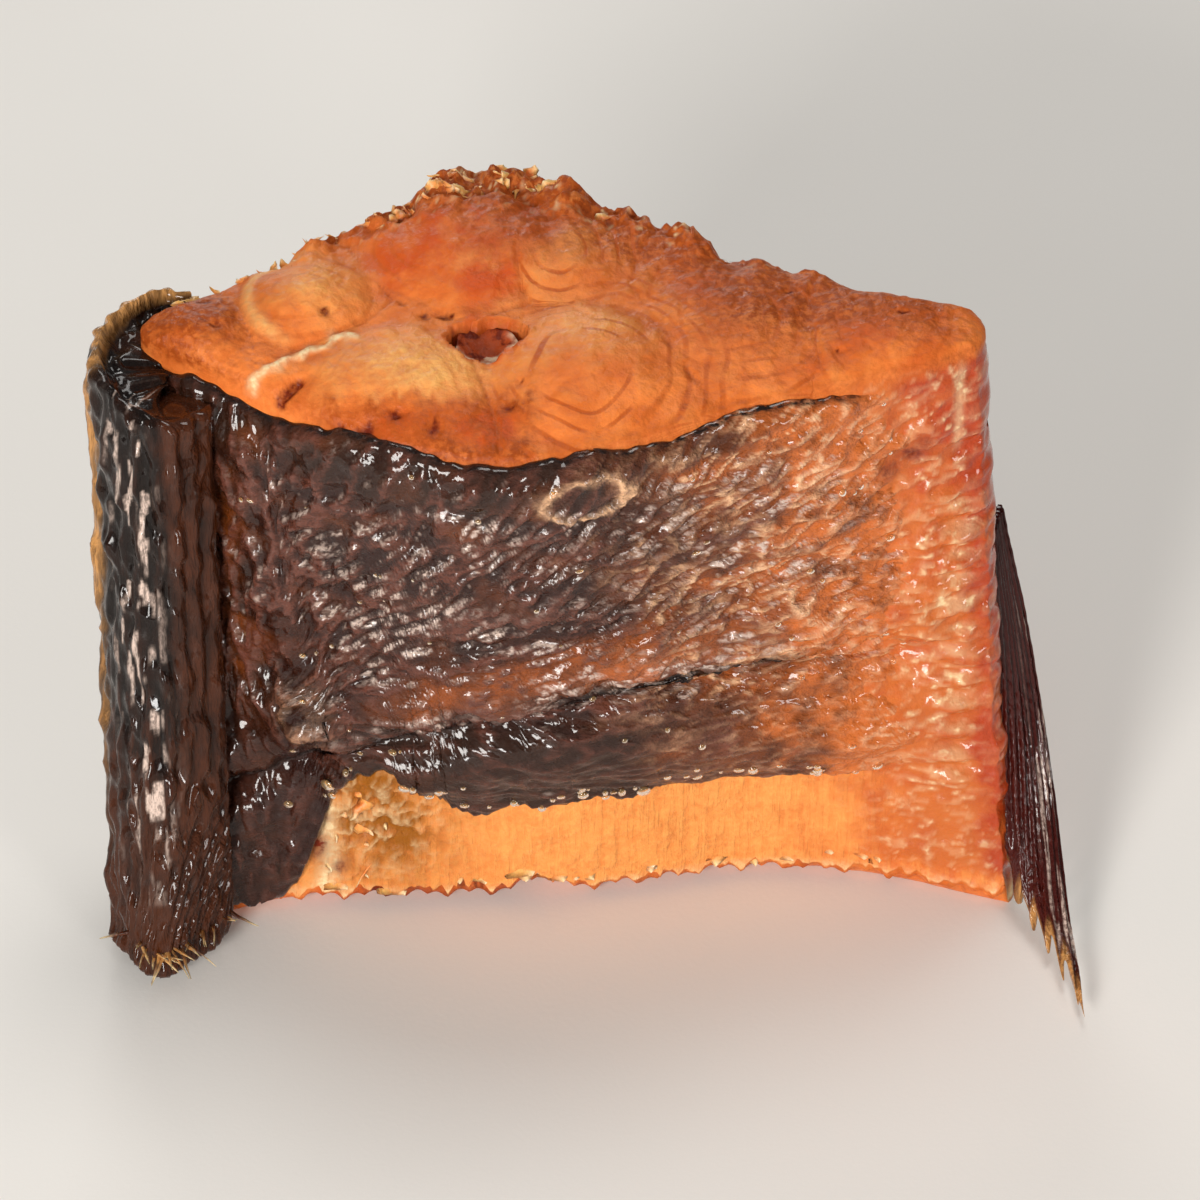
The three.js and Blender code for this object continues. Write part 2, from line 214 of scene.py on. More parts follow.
def wrinkles(x, z, angle, pitch, stretch, seed):
    """Creased relief from 0 to 1, with ridges that run along an angle."""
    directions = 8
    selective = 20  # how strongly a ridge keeps to the asked angle
    usual = 0.45  # mean height of a ridge pattern
    total = 0
    weights = 0
    for k in range(directions):
        turn = math.pi * k / directions
        weight = np.abs(np.cos(angle - turn)) ** selective
        along = (x * math.cos(turn) + z * math.sin(turn)) / (pitch * stretch)
        across = (z * math.cos(turn) - x * math.sin(turn)) / pitch
        ridge = np.clip(1 - 2.4 * np.abs(noise(along, across, 5.5 * k, seed)), 0, 1)
        total = total + weight * (ridge - usual)
        weights = weights + weight**2
    return np.clip(usual + total / np.sqrt(weights), 0, 1.1)


# The body's shape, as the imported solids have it


def fold_relief(x, z, folds):
    """Height of the skin's large folds."""
    total = 0
    for height, width, upright, line in folds:
        run, off = (z, x) if upright else (x, z)
        first = line[0][0]
        last = line[-1][0]
        ends = smoothstep(run, first - FOLD_FADE, first)
        ends = ends * (1 - smoothstep(run, last, last + FOLD_FADE))
        total = total + height * ends * bump(off, through(line, run), width)
    return total


def ray_knobs(x, z):
    """Height of the knobs along the belly ridge, one for each ray of the fin."""
    along = smoothstep(z, 12, 20) * smoothstep(-z, -58, -54)
    return KNOB_HEIGHT * bump(x, KNOB_X, KNOB_WIDTH) * along * np.cos(2 * np.pi * z / KNOB_PITCH)


def cut_height(x, y, rim):
    """Height of the head-end cut: swollen muscle blocks, and a torn frill on the far rim."""
    swell = 0
    for block_x, block_y, radius, block_swell, _ in MUSCLE_BLOCKS:
        away = np.hypot(x - block_x, y - block_y) / radius
        swell = swell + block_swell * np.maximum(0, 1 - away * away)
    behind = smoothstep(y, 3, 12) * rim**4
    torn = behind * (0.8 * np.sin(x * 0.9) + 0.7 * np.sin(x * 0.47 + 1))
    frill = behind * 1.8 * bump(x, -8, 10)
    return HEIGHT + CUT_TILT * y + swell * (1 - rim**3) - 1.1 * rim**6 + torn + frill


def torn_edge(x):
    """Height of the shown flank's torn lower edge."""
    steps = 0.9 * np.abs(np.sin(x * 0.55 + 0.6)) + 0.8 * np.abs(np.sin(x * 1.3))
    return FLOOR_CLEAR + steps + 2.2 * bump(x, -1.5, 2.6)


def back_x(t):
    return BACK_X - BACK_SPREAD * (1 - t)


def belly_x(t):
    return BELLY_X + BELLY_SPREAD * (1 - t)


def middle_y(s, t):
    """How far the chunk curls towards the viewer, most at its back and belly and near the floor."""
    curl = np.where(s < 0.5, BACK_CURL, BELLY_CURL)
    return -curl * (1 - t) ** 1.4 * np.abs(2 * s - 1) ** 2.2


def rim_share(s, n):
    """0 in the middle of a cross-section and 1 on its rim."""
    return np.maximum(np.abs(n), np.abs(2 * s - 1) ** 8)


def body_point(s, n, t):
    """Points of the body: s from back to belly, n from the shown flank to the other, t upward."""
    end = (s**24 - (1 - s) ** 24) * END_ROUND * (1 - n * n)
    x = lerp(back_x(t), belly_x(t), s) + end
    rise = t * HEIGHT
    shown = n < 0
    swell = np.where(
        shown,
        SHOWN_SWELL * through(SHOWN_PROFILE, s) * through(SHOWN_TAPER, t),
        OTHER_SWELL * through(OTHER_PROFILE, s) * through(OTHER_TAPER, t),
    )
    shown_relief = fold_relief(x, rise, SHOWN_FOLDS) + ray_knobs(x, rise)
    relief = np.where(shown, shown_relief, fold_relief(x, rise, OTHER_FOLDS))
    fade = smoothstep(t, 0, 0.08) * (1 - smoothstep(t, 0.88, 0.97))
    y = middle_y(s, t) + n * (swell + relief * fade)
    torn = np.where(shown, torn_edge(x) * (1 - t) ** 12 * smoothstep(-n, 0.7, 1), 0)
    return x, y, t * cut_height(x, y, rim_share(s, n)) + torn


HALVINGS = 14  # finds a share to within 0.01 mm of height


def share_at_height(s, n, z):
    """The t at which the body's surface reaches height z."""
    low = np.zeros(np.shape(z))
    high = np.ones(np.shape(z))
    for _ in range(HALVINGS):
        middle = (low + high) / 2
        below = body_point(s, n, middle)[2] < z
        low = np.where(below, middle, low)
        high = np.where(below, high, middle)
    return (low + high) / 2


# Meshes from grids of stations


def grid_triangles(ids):
    """Triangles of a grid of vertex numbers, without those that have shrunk to a line."""
    a, b, c, d = ids[:-1, :-1], ids[1:, :-1], ids[1:, 1:], ids[:-1, 1:]
    triangles = np.concatenate(
        [np.stack(corners, -1).reshape(-1, 3) for corners in ((a, b, c), (a, c, d))]
    )
    first, second, third = triangles.T
    return triangles[(first != second) & (second != third) & (third != first)]


def ring_ids(rings, rounds):
    """Vertex numbers of closed rings: each row ends with its first vertex again."""
    ids = np.arange(rings * rounds).reshape(rings, rounds)
    return np.concatenate([ids, ids[:, :1]], 1)


def pole_fan(pole, starts, ends):
    """Triangles from one vertex to each side of a ring."""
    return np.stack([np.full(len(starts), pole), starts, ends], -1)


def drawn_together(hidden, step):
    """Station numbers of a face, where each block of hidden stations shares its middle one."""
    u, v = np.meshgrid(*map(np.arange, hidden.shape), indexing="ij")
    hidden = hidden.copy()
    hidden[[0, -1], :] = False
    hidden[:, [0, -1]] = False
    whole = np.ones((hidden.shape[0] // step + 1, hidden.shape[1] // step + 1), bool)
    np.logical_and.at(whole, (u // step, v // step), hidden)
    whole[-1, :] = False
    whole[:, -1] = False
    inside = whole[u // step, v // step]
    middle = step // 2
    return (
        np.where(inside, u // step * step + middle, u),
        np.where(inside, v // step * step + middle, v),
    )


def block_surface(counts, hidden=None, step=1):
    """The surface of a block of stations: the stations used, and its triangles.

    hidden gives for each of the six faces which of its stations can't be seen. Those are drawn
    together in blocks of step by step stations.
    """
    ni, nj, nk = counts
    faces = {
        "front": ((ni, nk), lambda u, v: (u, 0 * u, v)),
        "rear": ((nk, ni), lambda u, v: (v, 0 * u + nj - 1, u)),
        "left": ((nk, nj), lambda u, v: (0 * u, v, u)),
        "right": ((nj, nk), lambda u, v: (0 * u + ni - 1, u, v)),
        "top": ((ni, nj), lambda u, v: (u, v, 0 * u + nk - 1)),
        "bottom": ((nj, ni), lambda u, v: (v, u, 0 * u)),
    }
    triangles = []
    for name, (shape, stations) in faces.items():
        unseen = (hidden or {}).get(name)
        unseen = np.zeros(shape, bool) if unseen is None else unseen
        i, j, k = stations(*drawn_together(unseen, step))
        triangles.append(grid_triangles((i * nj + j) * nk + k))
    used, triangles = np.unique(np.concatenate(triangles), return_inverse=True)
    return (used // (nj * nk), used // nk % nj, used % nk), triangles.reshape(-1, 3)


def to_frame(points):
    """Millimetres in the chunk's own axes to metres in the frame, found by the backbone's place."""
    low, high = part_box("backbone")
    shift = (np.array(low) + np.array(high)) / 2 - np.array([BONE_X, BONE_Y, 0]) * MM
    return points * MM + np.array([shift[0], shift[1], 0])


def add_piece(name, points, faces, material, masks=None, replaced=()):
    """Adds a mesh piece that rides with the chunk, with its masks for the material."""
    mesh = bpy.data.meshes.new(name)
    mesh.from_pydata(to_frame(points), [], faces)
    mesh.shade_smooth()
    for mask, values in (masks or {}).items():
        attribute = mesh.attributes.new(mask, "FLOAT", "POINT")
        attribute.data.foreach_set("value", np.clip(values, 0, 1).astype(np.float32))
    mesh.materials.append(material)
    piece = bpy.data.objects.new(name, mesh)
    bpy.context.scene.collection.objects.link(piece)
    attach(piece, "root")
    if replaced:
        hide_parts(*replaced)
    return piece


def joined(parts):
    """Several (points, faces) meshes as one."""
    count = 0
    points = []
    faces = []
    for part_points, part_faces in parts:
        points.append(part_points)
        faces.append(part_faces + count)
        count += len(part_points)
    return np.concatenate(points), np.concatenate(faces)


def spots(x, y, places):
    """A mask of soft ovals: each place is centre, half sizes and strength."""
    total = 0
    for spot_x, spot_y, half_x, half_y, strength in places:
        away = ((x - spot_x) / half_x) ** 2 + ((y - spot_y) / half_y) ** 2
        total = total + strength * np.exp(-away)
    return total


def near_segment(x, y, start, end, width):
    """A mask along a straight line."""
    (ax, ay), (bx, by) = start, end
    span = (bx - ax) ** 2 + (by - ay) ** 2
    share = np.clip(((x - ax) * (bx - ax) + (y - ay) * (by - ay)) / span, 0, 1)
    away = np.hypot(x - ax - share * (bx - ax), y - ay - share * (by - ay))
    return np.exp(-((away / width) ** 2))


# The head-end cut

# Soft ovals of colour: centre, half sizes and strength
PALE_SPOTS = [
    (-14, -8, 8, 5.5, 1), (-26, 5, 5, 5, 0.6), (4, -2, 6, 4, 0.6), (-4, 8, 6, 4, 0.4),
    (2, 12, 3, 2.5, 0.4),
]
RED_SPOTS = [
    (-10, 13, 8, 5, 0.9), (-2, 17, 7, 3, 0.6), (-7, 6, 4, 3, 0.6), (-18, -15.5, 9, 2, 0.8),
    (-6, -15.5, 2.4, 3, 1.1), (37, -2, 6, 3, 0.6), (-18, 8, 4, 4, 0.4), (16, 9, 4, 6, 0.4),
]
TAN_SPOTS = [
    (-40, 1, 7, 6, 1.2), (24, 4, 11, 7, 1.1), (-5, 21, 13, 5, 1), (14, 13, 10, 5, 1),
    (33, 3, 5, 4, 0.5), (41, 2, 4, 6, 0.7), (-3, 13, 7, 4, 0.55),
]
# Dark red pits of cut blood vessels and torn gaps: place, radius and depth
PITS = [
    (-19.8, -15.2, 1.5, 0.8), (-16.5, -14, 1, 0.6), (-12.5, -15.8, 1.1, 0.6), (-4.4, -13, 0.8, 0.5),
    (-3.2, -10, 0.6, 0.4), (-11.5, 1.6, 1, 0.7), (-13.6, 1.4, 0.8, 0.5), (-16.4, 3.3, 0.4, 0.4),
    (-38, 3, 0.7, 0.4), (-36.5, -1.5, 0.6, 0.3), (-40.4, 4.4, 0.5, 0.3), (-24.4, 0.6, 0.9, 0.5),
    (31.5, -4.2, 0.6, 0.4), (26, 5, 0.5, 0.3), (38.5, 1.5, 0.6, 0.4), (-22.5, -14.5, 0.6, 0.5),
]
# Ends of the pale wall of tissue between two blocks, and of the slit beside it
SEPTUM = ((-35, -9.5), (-21.6, -1.8))
SLIT = ((-31.2, -11.6), (-27.2, -8.6))
CRESCENT = (-26, 4, 7.2)  # centre and radius of the pale arc round the second block
SOCKET_DEPTH = 4  # how far the flesh dips round the end of the backbone

# Middle of the largest lobe, which has close lines round its belly side, and their distance
SHELL_X = 4
SHELL_Y = -7
SHELL_PITCH = 1.7
SWIRL_SPAN = 16  # the ring count that stands for 1 in the swirl and shell masks


def cut_surface(x, y, rim, ring_pitch):
    """Relief and masks of a cut face."""
    # Rings of each muscle block, and the seams between blocks
    warp_x = x + 1.9 * noise(x / 9, y / 9, 0.5, 11)
    warp_y = y + 1.9 * noise(x / 9, y / 9, 4.5, 12)
    shares = []
    for block_x, block_y, radius, _, _ in MUSCLE_BLOCKS:
        shares.append(np.hypot(warp_x - block_x, warp_y - block_y) / radius)
    shares = np.stack(shares)
    order = np.argsort(shares, 0)
    nearest = np.take_along_axis(shares, order[:1], 0)[0]
    second = np.take_along_axis(shares, order[1:2], 0)[0]
    radius = np.array([block[2] for block in MUSCLE_BLOCKS])[order[0]]
    clear = np.array([block[4] for block in MUSCLE_BLOCKS])[order[0]]
    swirl = nearest * radius / ring_pitch + 0.3 * noise(x / 8, y / 8, 1.5, 13)
    faded = smoothstep(layered(x / 6, y / 6, 7.5, 21), -0.4, 0.3)
    ringed = clear * smoothstep(nearest, 0.25, 0.5) * faded
    joined_up = smoothstep(layered(x / 4, y / 4, 2.5, 24), -0.5, 0.2)
    seam = bump(second - nearest, 0, 0.05) * joined_up

    # Pits, the backbone's socket, the pale wall, the slit and the torn near edge
    torn_x = x + 0.8 * noise(x / 0.8, y / 0.8, 1.5, 26)
    torn_y = y + 0.6 * noise(x / 0.8, y / 0.8, 5.5, 27)
    pits = spots(torn_x, torn_y, [(px, py, 0.9 * size, 0.65 * size, 1) for px, py, size, _ in PITS])
    pits = smoothstep(pits, 0.35, 0.8)
    pit_depth = spots(x, y, [(px, py, size, size * 0.8, deep) for px, py, size, deep in PITS])
    ragged = 0.8 * layered(x / 2.2, y / 2.2, 2.5, 14)
    from_bone = np.hypot((x - BONE_X) * 0.85, (y - BONE_Y) * 1.15) + ragged
    socket = smoothstep(-from_bone, -3.7, -3)
    socket_edge = bump(from_bone, 3.5, 0.7)
    frayed_width = 0.55 + 0.5 * noise(x / 1.6, y / 1.6, 1.5, 22)
    bent_y = y + 1.1 * noise(x / 4, 0.5, 0.5, 15) + 0.5 * noise(x / 1.2, y / 1.2, 0.5, 23)
    septum = near_segment(x, bent_y, *SEPTUM, frayed_width)
    slit = near_segment(x, y, *SLIT, 0.7)
    arc_x, arc_y, arc_radius = CRESCENT
    crescent = bump(np.hypot(x - arc_x, y - arc_y), arc_radius, 0.7) * smoothstep(-x, 27, 31)
    serrated = bump(y + 16.5 - 0.5 * np.abs(x + 16), 0, 1.6)
    serrated = serrated * smoothstep(-x, -2, 3) * smoothstep(x, -30, -24)
    feathers = 2.2 * noise(x / 0.8, y / 5, 7.5, 28) + 1.2 * noise(x / 3, y / 4, 3.5, 29)
    browned = smoothstep(-y + feathers, 11.6, 13) * smoothstep(-x, 0, 3) * smoothstep(x, -27, -22)
    shell = np.hypot(warp_x - SHELL_X, warp_y - SHELL_Y) + 0.9 * noise(x / 5, y / 5, 5.5, 30)
    shelled = smoothstep(shell, 7.5, 9.5) * (1 - smoothstep(shell, 14, 17))
    shelled = shelled * smoothstep(x + 0.3 * y, 3, 9)
    shelled = shelled * (0.35 + 0.65 * smoothstep(noise(x / 2.5, y / 2.5, 6.5, 38), -0.4, 0.2))

    # Grain of the cut, and the frayed far rim
    fibres = layered(x / 0.9, y / 0.9, 3.5, 16, 2)
    rough = layered(x / 2.6, y / 2.6, 3.5, 17)
    frayed = smoothstep(y, 7, 15) * smoothstep(rim, 0.6, 1)
    crumpled = 1 - 2.2 * np.abs(layered(x / 3, y / 3, 6.5, 18))
    height = (
        0.05 * np.cos(2 * np.pi * swirl) * ringed
        - 0.3 * seam
        + 0.1 * fibres
        + 0.22 * rough
        + frayed * (0.9 * crumpled + 0.3 * fibres)
        + 0.5 * serrated * np.abs(noise(x / 0.8, y / 3, 0.5, 25))
        - pit_depth
        - SOCKET_DEPTH * socket
        + 0.3 * socket_edge
        + 0.3 * septum
        - 1.1 * slit
        + 0.2 * crescent
    )
    flecks = smoothstep(noise(x / 0.7, y / 0.7, 8.5, 19), 0.35, 0.7)
    cream = septum * (1 - slit) * (0.8 + 0.5 * rough) + 0.1 * crescent + 0.8 * frayed * flecks
    pale = spots(x, y, PALE_SPOTS) * (1 - 0.8 * browned) + 0.8 * crescent + 0.2 * rough
    pale = pale + 0.8 * frayed * bump(x, -5, 11) * smoothstep(crumpled, 0.2, 0.8)
    red = 1.1 * spots(x, y, RED_SPOTS) + 0.3 * layered(x / 5, y / 5, 9.5, 20)
    tan = spots(x, y, TAN_SPOTS) + 0.55 * frayed * (1 - 0.7 * crumpled)
    tan = tan + 0.3 * smoothstep(rim, 0.9, 1) + browned * (0.55 + 0.5 * rough)
    masks = {
        "pale": pale,
        "red": red + 0.6 * socket_edge,
        "tan": tan,
        "swirl": swirl / SWIRL_SPAN,
        "ringed": ringed * (1 - shelled),
        "shell": shell / SHELL_PITCH / SWIRL_SPAN,
        "shelled": shelled,
        "line": 0.5 * seam + 0.5 * serrated,
        "deep": pits + smoothstep(slit, 0.2, 0.8) + 0.65 * socket,
        "cream": cream,
    }
    return height, masks


# The flank, with its skin

# The pinched point that the wrinkles fan out from
FAN_X = -29
FAN_Z = 25


def flow_angle(x, z, shown):
    """Direction of the skin's wrinkles: a fan from the pinched point, upright beside the fin."""
    fan = 0.75 * np.arctan2(z - FAN_Z, np.maximum(x - FAN_X, 0.1))
    fan = fan * smoothstep(z, 27, 36)
    upright = smoothstep(-x, 26, 31)
    flow = lerp(fan, np.pi / 2, upright) + np.where(shown, 0, 0.25)
    return flow + 0.3 * noise(x / 12, z / 12, 0.5, 31)


# Middle and half sizes of the pale oval scar
RING_X = 3.6
RING_Z = 68
RING_HALF_X = 4.9
RING_HALF_Z = 2.3
# A lump and a pinched knot in the skin: centre, half sizes and strength
DROP = (-9.9, 64.6, 2.2, 1.7, 1)
BLOB = (-27.2, 31.5, 2, 3.4, 1)
# Torn holes in the clear skin near the upper corner of the belly, drawn only as dark red painted shade
# with no depth
RIDGE_HOLES = [(39.6, 61.5, 1.7, 1.2, 1.2), (37, 59.6, 1.3, 1.1, 1), (41, 63.6, 0.8, 0.8, 0.8)]


def skin_relief(x, z, shown, pitch, height):
    """Fine relief of the skin, and the masks that colour it."""
    angle = flow_angle(x, z, shown)
    coarse = wrinkles(x, z, angle, 1.9 * pitch, 4, 32)
    fine = wrinkles(x, z, angle, pitch, 3.6, 33)
    folds = layered(x / 7, z / 5, 1.5, 34)
    bulge = smoothstep(-z, -33, -29) * smoothstep(x, -26, -18) * shown
    rim_band = smoothstep(z, 64, 69)
    right = smoothstep(x, 12, 30)
    low_corner = smoothstep(-x, 22, 27) * smoothstep(-z, -31, -26) * shown
    strong = (1 - 0.7 * bulge) * (1 - 0.55 * rim_band) * (1 - 0.75 * low_corner)
    low_relief = 1 - 0.45 * right
    creased = 1.9 * coarse**1.3 * low_relief + 1.5 * fine
    relief = height * strong * creased + 0.8 * folds * (1 - 0.5 * bulge)

    # The scar, the lump and the pinched knot
    oval = np.hypot((x - RING_X) / RING_HALF_X, (z - RING_Z) / RING_HALF_Z)
    oval = oval + 0.2 * layered(x / 2.2, z / 2.2, 3.5, 36)
    ring = bump(oval, 0.9, 0.13) * shown * (0.7 + 0.5 * noise(x / 1.7, z / 1.7, 4.5, 37))
    drop = spots(x, z, [DROP]) * shown
    blob = spots(x, z, [BLOB]) * shown
    relief = relief + 0.6 * ring + 0.8 * drop + 0.9 * blob * (0.6 + 0.6 * coarse)

    # Where the skin is clear, painted with shade in its main crease, amber, glowing, flaked pale or
    # olive
    patches = layered(x / 6, z / 4, 2.5, 35)
    clear = smoothstep(x + 8 * patches, 26, 37)
    crease_shade = bump(z, through(SHOWN_FOLDS[0][3], x), lerp(1.1, 2, right)) * shown * (1 - clear)
    ridge_line = through(SHOWN_FOLDS[1][3], x)
    amber_ridge = 1.3 * bump(z, ridge_line, 3) * smoothstep(x, -26, -8) * shown
    trough = bump(x, -35.5, 2.8) * shown * smoothstep(z, 24, 34) * smoothstep(-z, -64, -50)
    amber = 0.8 * amber_ridge + 0.45 * trough + 0.75 * smoothstep(x, 0, 24)
    amber = amber + 0.3 * patches - 0.6 * crease_shade
    low_bulge = smoothstep(-z, -34, -29) * (1 - smoothstep(x, 30, 40)) * shown
    glow = smoothstep(x + 9 * patches, 14, 34) * (0.75 + 0.5 * patches)
    glow = glow * (1 - 0.8 * low_bulge) + clear
    glow = glow + 0.7 * bump(x, 9, 6) * bump(z, 40.5, 2) * shown
    pale = smoothstep(fine, 0.55, 0.95) * smoothstep(x + 6 * patches, 2, 24) * (0.8 + 0.8 * patches)
    pale = pale * (1 - 0.35 * clear) * (1 - 0.75 * low_bulge)
    olive = (rim_band * 0.9 + bulge * 0.9) * (1 - right) + 0.5 * smoothstep(-x, 28, 34)
    left_ridge = bump(x, through(SHOWN_FOLDS[4][3], z), 0.8)
    left_ridge = left_ridge * smoothstep(z, 28, 32) * smoothstep(-z, -58, -46) * shown
    # The crest mask is painted highlight: the tops of the wrinkles, and streaks on the left ridge, are
    # drawn paler
    worn = smoothstep(0.75 * coarse + 0.45 * fine, 0.5, 1.05)
    quiet = (1 - 0.7 * low_corner) * (1 - 0.6 * bulge * (1 - smoothstep(x, 12, 24)))
    quiet = quiet * (1 - 0.45 * rim_band)
    # Painted shade of the torn holes
    ridge_holes = spots(x, z, RIDGE_HOLES) * shown
    masks = {
        "crest": worn * (1 - clear) * quiet + 0.5 * left_ridge * coarse,
        "quiet": quiet,
        "hole_shade": ridge_holes,
        "amber": (amber * (1 - 0.5 * low_bulge) + 0.7 * drop) * (1 - clear),
        "glow": glow,
        "clear": clear,
        "pale": 0.8 * pale + 1.1 * ring + 0.3 * blob * coarse,
        "olive": olive * (1 - clear),
        "crease_shade": crease_shade,
    }
    return relief, masks


SHOWN_SKIN_TOP = 72.2
OTHER_SKIN_TOP = 72.6
# Height of the skin's lower edge near the torn corner, in the middle, left of the corner, and
# on the other flank
BAND_LEFT = 15
BAND_MIDDLE = 18
CORNER_LOW = 1.5
OTHER_SKIN_BOTTOM = 3.2


def skin_top(x, shown):
    """Height of the skin's upper edge."""
    ripple = 0.5 * np.sin(x * 0.31 + 1) + 0.5 * noise(x / 5, 0.5, 0.5, 40)
    ripple = ripple + 0.45 * noise(x / 1.4, 0.5, 0.5, 41)
    shown_level = SHOWN_SKIN_TOP - 1.4 * smoothstep(-x, 20, 34)
    return np.where(shown, shown_level, OTHER_SKIN_TOP) + ripple


def skin_bottom(x, shown):
    """Height of the skin's torn lower edge."""
    ripple = 0.4 * np.sin(x * 0.8)
    teeth = 0.9 * np.abs(noise(x / 0.9, 0.5, 0.5, 42)) + 0.5 * noise(x / 3, 0.5, 2.5, 43)
    drawn_back = lerp(BAND_LEFT, BAND_MIDDLE, smoothstep(x, -24, 2)) - 2 * smoothstep(x, 22, 42)
    torn_away = 8 * bump(x, -19.5, 5.5)
    teeth = teeth * (1 + 1.6 * bump(x, -20, 9))
    torn_level = drawn_back + torn_away
    shown_level = lerp(CORNER_LOW, torn_level, smoothstep(x, -31, -24.5)) + ripple
    return np.where(shown, shown_level, OTHER_SKIN_BOTTOM + 2 * ripple) + teeth


SKIN_COLUMNS = (290, 14, 130)  # on the shown flank, round the back and on the other flank
SKIN_ROWS = 200
SKIN_THICK = 0.9  # how deep the skin's inner side lies in the flesh
SKIN_SINKS = 0.5  # how deep its outer side sinks where it ends on the belly ridge
WRINKLE_ROOM = 0.35  # kept free under the wrinkles, so that their middle is the solid's surface
SKIN_END = 0.94  # the skin thins out on the belly ridge and sinks into it here
SKIN_FADE = 0.76  # where it starts to thin


@lru_cache(maxsize=None)
def skin_grid(pitch, height):
    """The skin's outer surface as a grid: points, normals, how far it stands off, and masks."""
    shown_count, back_count, other_count = SKIN_COLUMNS
    s = np.concatenate([
        np.linspace(SKIN_END, 0, shown_count),
        np.zeros(back_count),
        np.linspace(0, SKIN_END, other_count),
    ])
    n = np.concatenate([
        np.full(shown_count, -1.0),
        np.linspace(-1, 1, back_count + 2)[1:-1],
        np.ones(other_count),
    ])
    turned = np.clip((n + 1) / 2, 0, 1)
    x = lerp(BACK_X, BELLY_X, s)
    low = lerp(skin_bottom(x, True), skin_bottom(x, False), turned)
    high = lerp(skin_top(x, True), skin_top(x, False), turned)
    rows = np.linspace(0, 1, SKIN_ROWS)
    z = lerp(low[:, None], high[:, None], rows[None, :])
    s = np.repeat(s[:, None], SKIN_ROWS, 1)
    n = np.repeat(n[:, None], SKIN_ROWS, 1)
    t = share_at_height(s, n, z)
    points = np.stack(body_point(s, n, t), -1)
    along = np.gradient(points, axis=0)
    up = np.gradient(points, axis=1)
    normals = np.cross(up, along)
    normals /= np.linalg.norm(normals, axis=-1, keepdims=True)
    relief, masks = skin_relief(points[..., 0], points[..., 2], n < 0, pitch, height)
    from_rim = np.minimum(z - low[:, None], high[:, None] - z)
    round_size = lerp(1.2, 3, smoothstep(z, 60, 66))
    rounded = round_over(from_rim / round_size + 0.02)
    ragged = 0.05 * layered(z / 6, 0.5, 0.5, 44)
    ragged = ragged + 0.02 * layered(points[..., 0] / 2, z / 2, 0.5, 45)
    cover = 1 - smoothstep(s + ragged, SKIN_FADE, SKIN_END)
    stands = lerp(-SKIN_SINKS, (SKIN_STANDS - WRINKLE_ROOM) * rounded, cover)
    stands = stands + relief * rounded * smoothstep(SKIN_END - s, 0, 0.03)
    masks["edge"] = 0.7 * (1 - smoothstep(from_rim, 0.1, 0.8)) * (1 - masks["clear"])
    # Painted highlights: palest on the upper side of each crest, least on the amber ridge and the belly
    climb = -np.gradient(relief, axis=1) / np.maximum(np.gradient(z, axis=1), 0.05)
    spread = smoothstep(layered(points[..., 0] / 9, z / 6, 5.5, 46), -0.5, 0.4)
    on_amber = 0.5 * bump(z, through(SHOWN_FOLDS[1][3], points[..., 0]) + 1, 3) * (n < 0)
    towards_belly = 0.45 * smoothstep(points[..., 0], 20, 34)
    glint = smoothstep(climb, 0.42, 1.1) * masks.pop("quiet") * (0.12 + 0.64 * spread)
    masks["glint"] = glint * (1 - on_amber) * (1 - towards_belly)
    return points, normals, stands, masks


# Small parts

BLADE_THICK = 0.18


def blades(roots, directions, sides, lengths, widths, curls, ragged, rng):
    """Thin torn blades: each tapers from its root to a ragged tip and curls to one side."""
    steps = 6
    parts = []
    each = zip(roots, directions, sides, lengths, widths, curls)
    for root, direction, side, length, width, curl in each:
        direction = direction / np.linalg.norm(direction)
        side = side - direction * (side @ direction)
        side = side / np.linalg.norm(side)
        face = np.cross(direction, side)
        rings = []
        for k in range(steps):
            share = k / (steps - 1)
            middle = root + direction * length * share + face * curl * share**2
            half = width / 2 * (1 - share**1.6) + 0.05
            half = half * (1 + ragged * rng.uniform(-1, 1))
            thick = BLADE_THICK * (1 - 0.7 * share)
            sway = side * width * ragged * 0.6 * rng.uniform(-1, 1)
            rings.append([
                middle + sway - side * half,
                middle + sway - face * thick,
                middle + sway + side * half,
                middle + sway + face * thick,
            ])
        ids = ring_ids(steps, 4)
        faces = grid_triangles(ids)[:, ::-1]
        a, b, c, d = ids[-1, :4]
        ends = np.array([[0, 1, 2], [0, 2, 3], [c, b, a], [d, c, a]])
        parts.append((np.array(rings).reshape(-1, 3), np.concatenate([faces, ends])))
    return parts


def bead(centre, normal, radius, lift, stretch):
    """A drop that lies on a surface: a flattened ball, sunk a little into it."""
    rounds = 14
    rings = 8
    normal = normal / np.linalg.norm(normal)
    across = np.cross(normal, [0, 0, 1.0])
    across = across / np.linalg.norm(across)
    up = np.cross(across, normal)
    wide, tall = stretch
    polar = np.linspace(0, np.pi, rings + 2)[1:-1]
    turn = np.linspace(0, 2 * np.pi, rounds, endpoint=False)
    out = np.sin(polar)[:, None]
    points = (
        centre
        + radius * wide * (out * np.cos(turn))[..., None] * across
        + radius * tall * (out * np.sin(turn))[..., None] * up
        + lift * (np.cos(polar)[:, None] * np.ones(rounds))[..., None] * normal
    )
    ids = ring_ids(rings, rounds)
    top = rings * rounds
    faces = [
        grid_triangles(ids),
        pole_fan(top, ids[0, :-1], ids[0, 1:]),
        pole_fan(top + 1, ids[-1, 1:], ids[-1, :-1]),
    ]
    poles = np.array([centre + normal * lift, centre - normal * lift])
    return np.concatenate([points.reshape(-1, 3), poles]), np.concatenate(faces)


# Materials


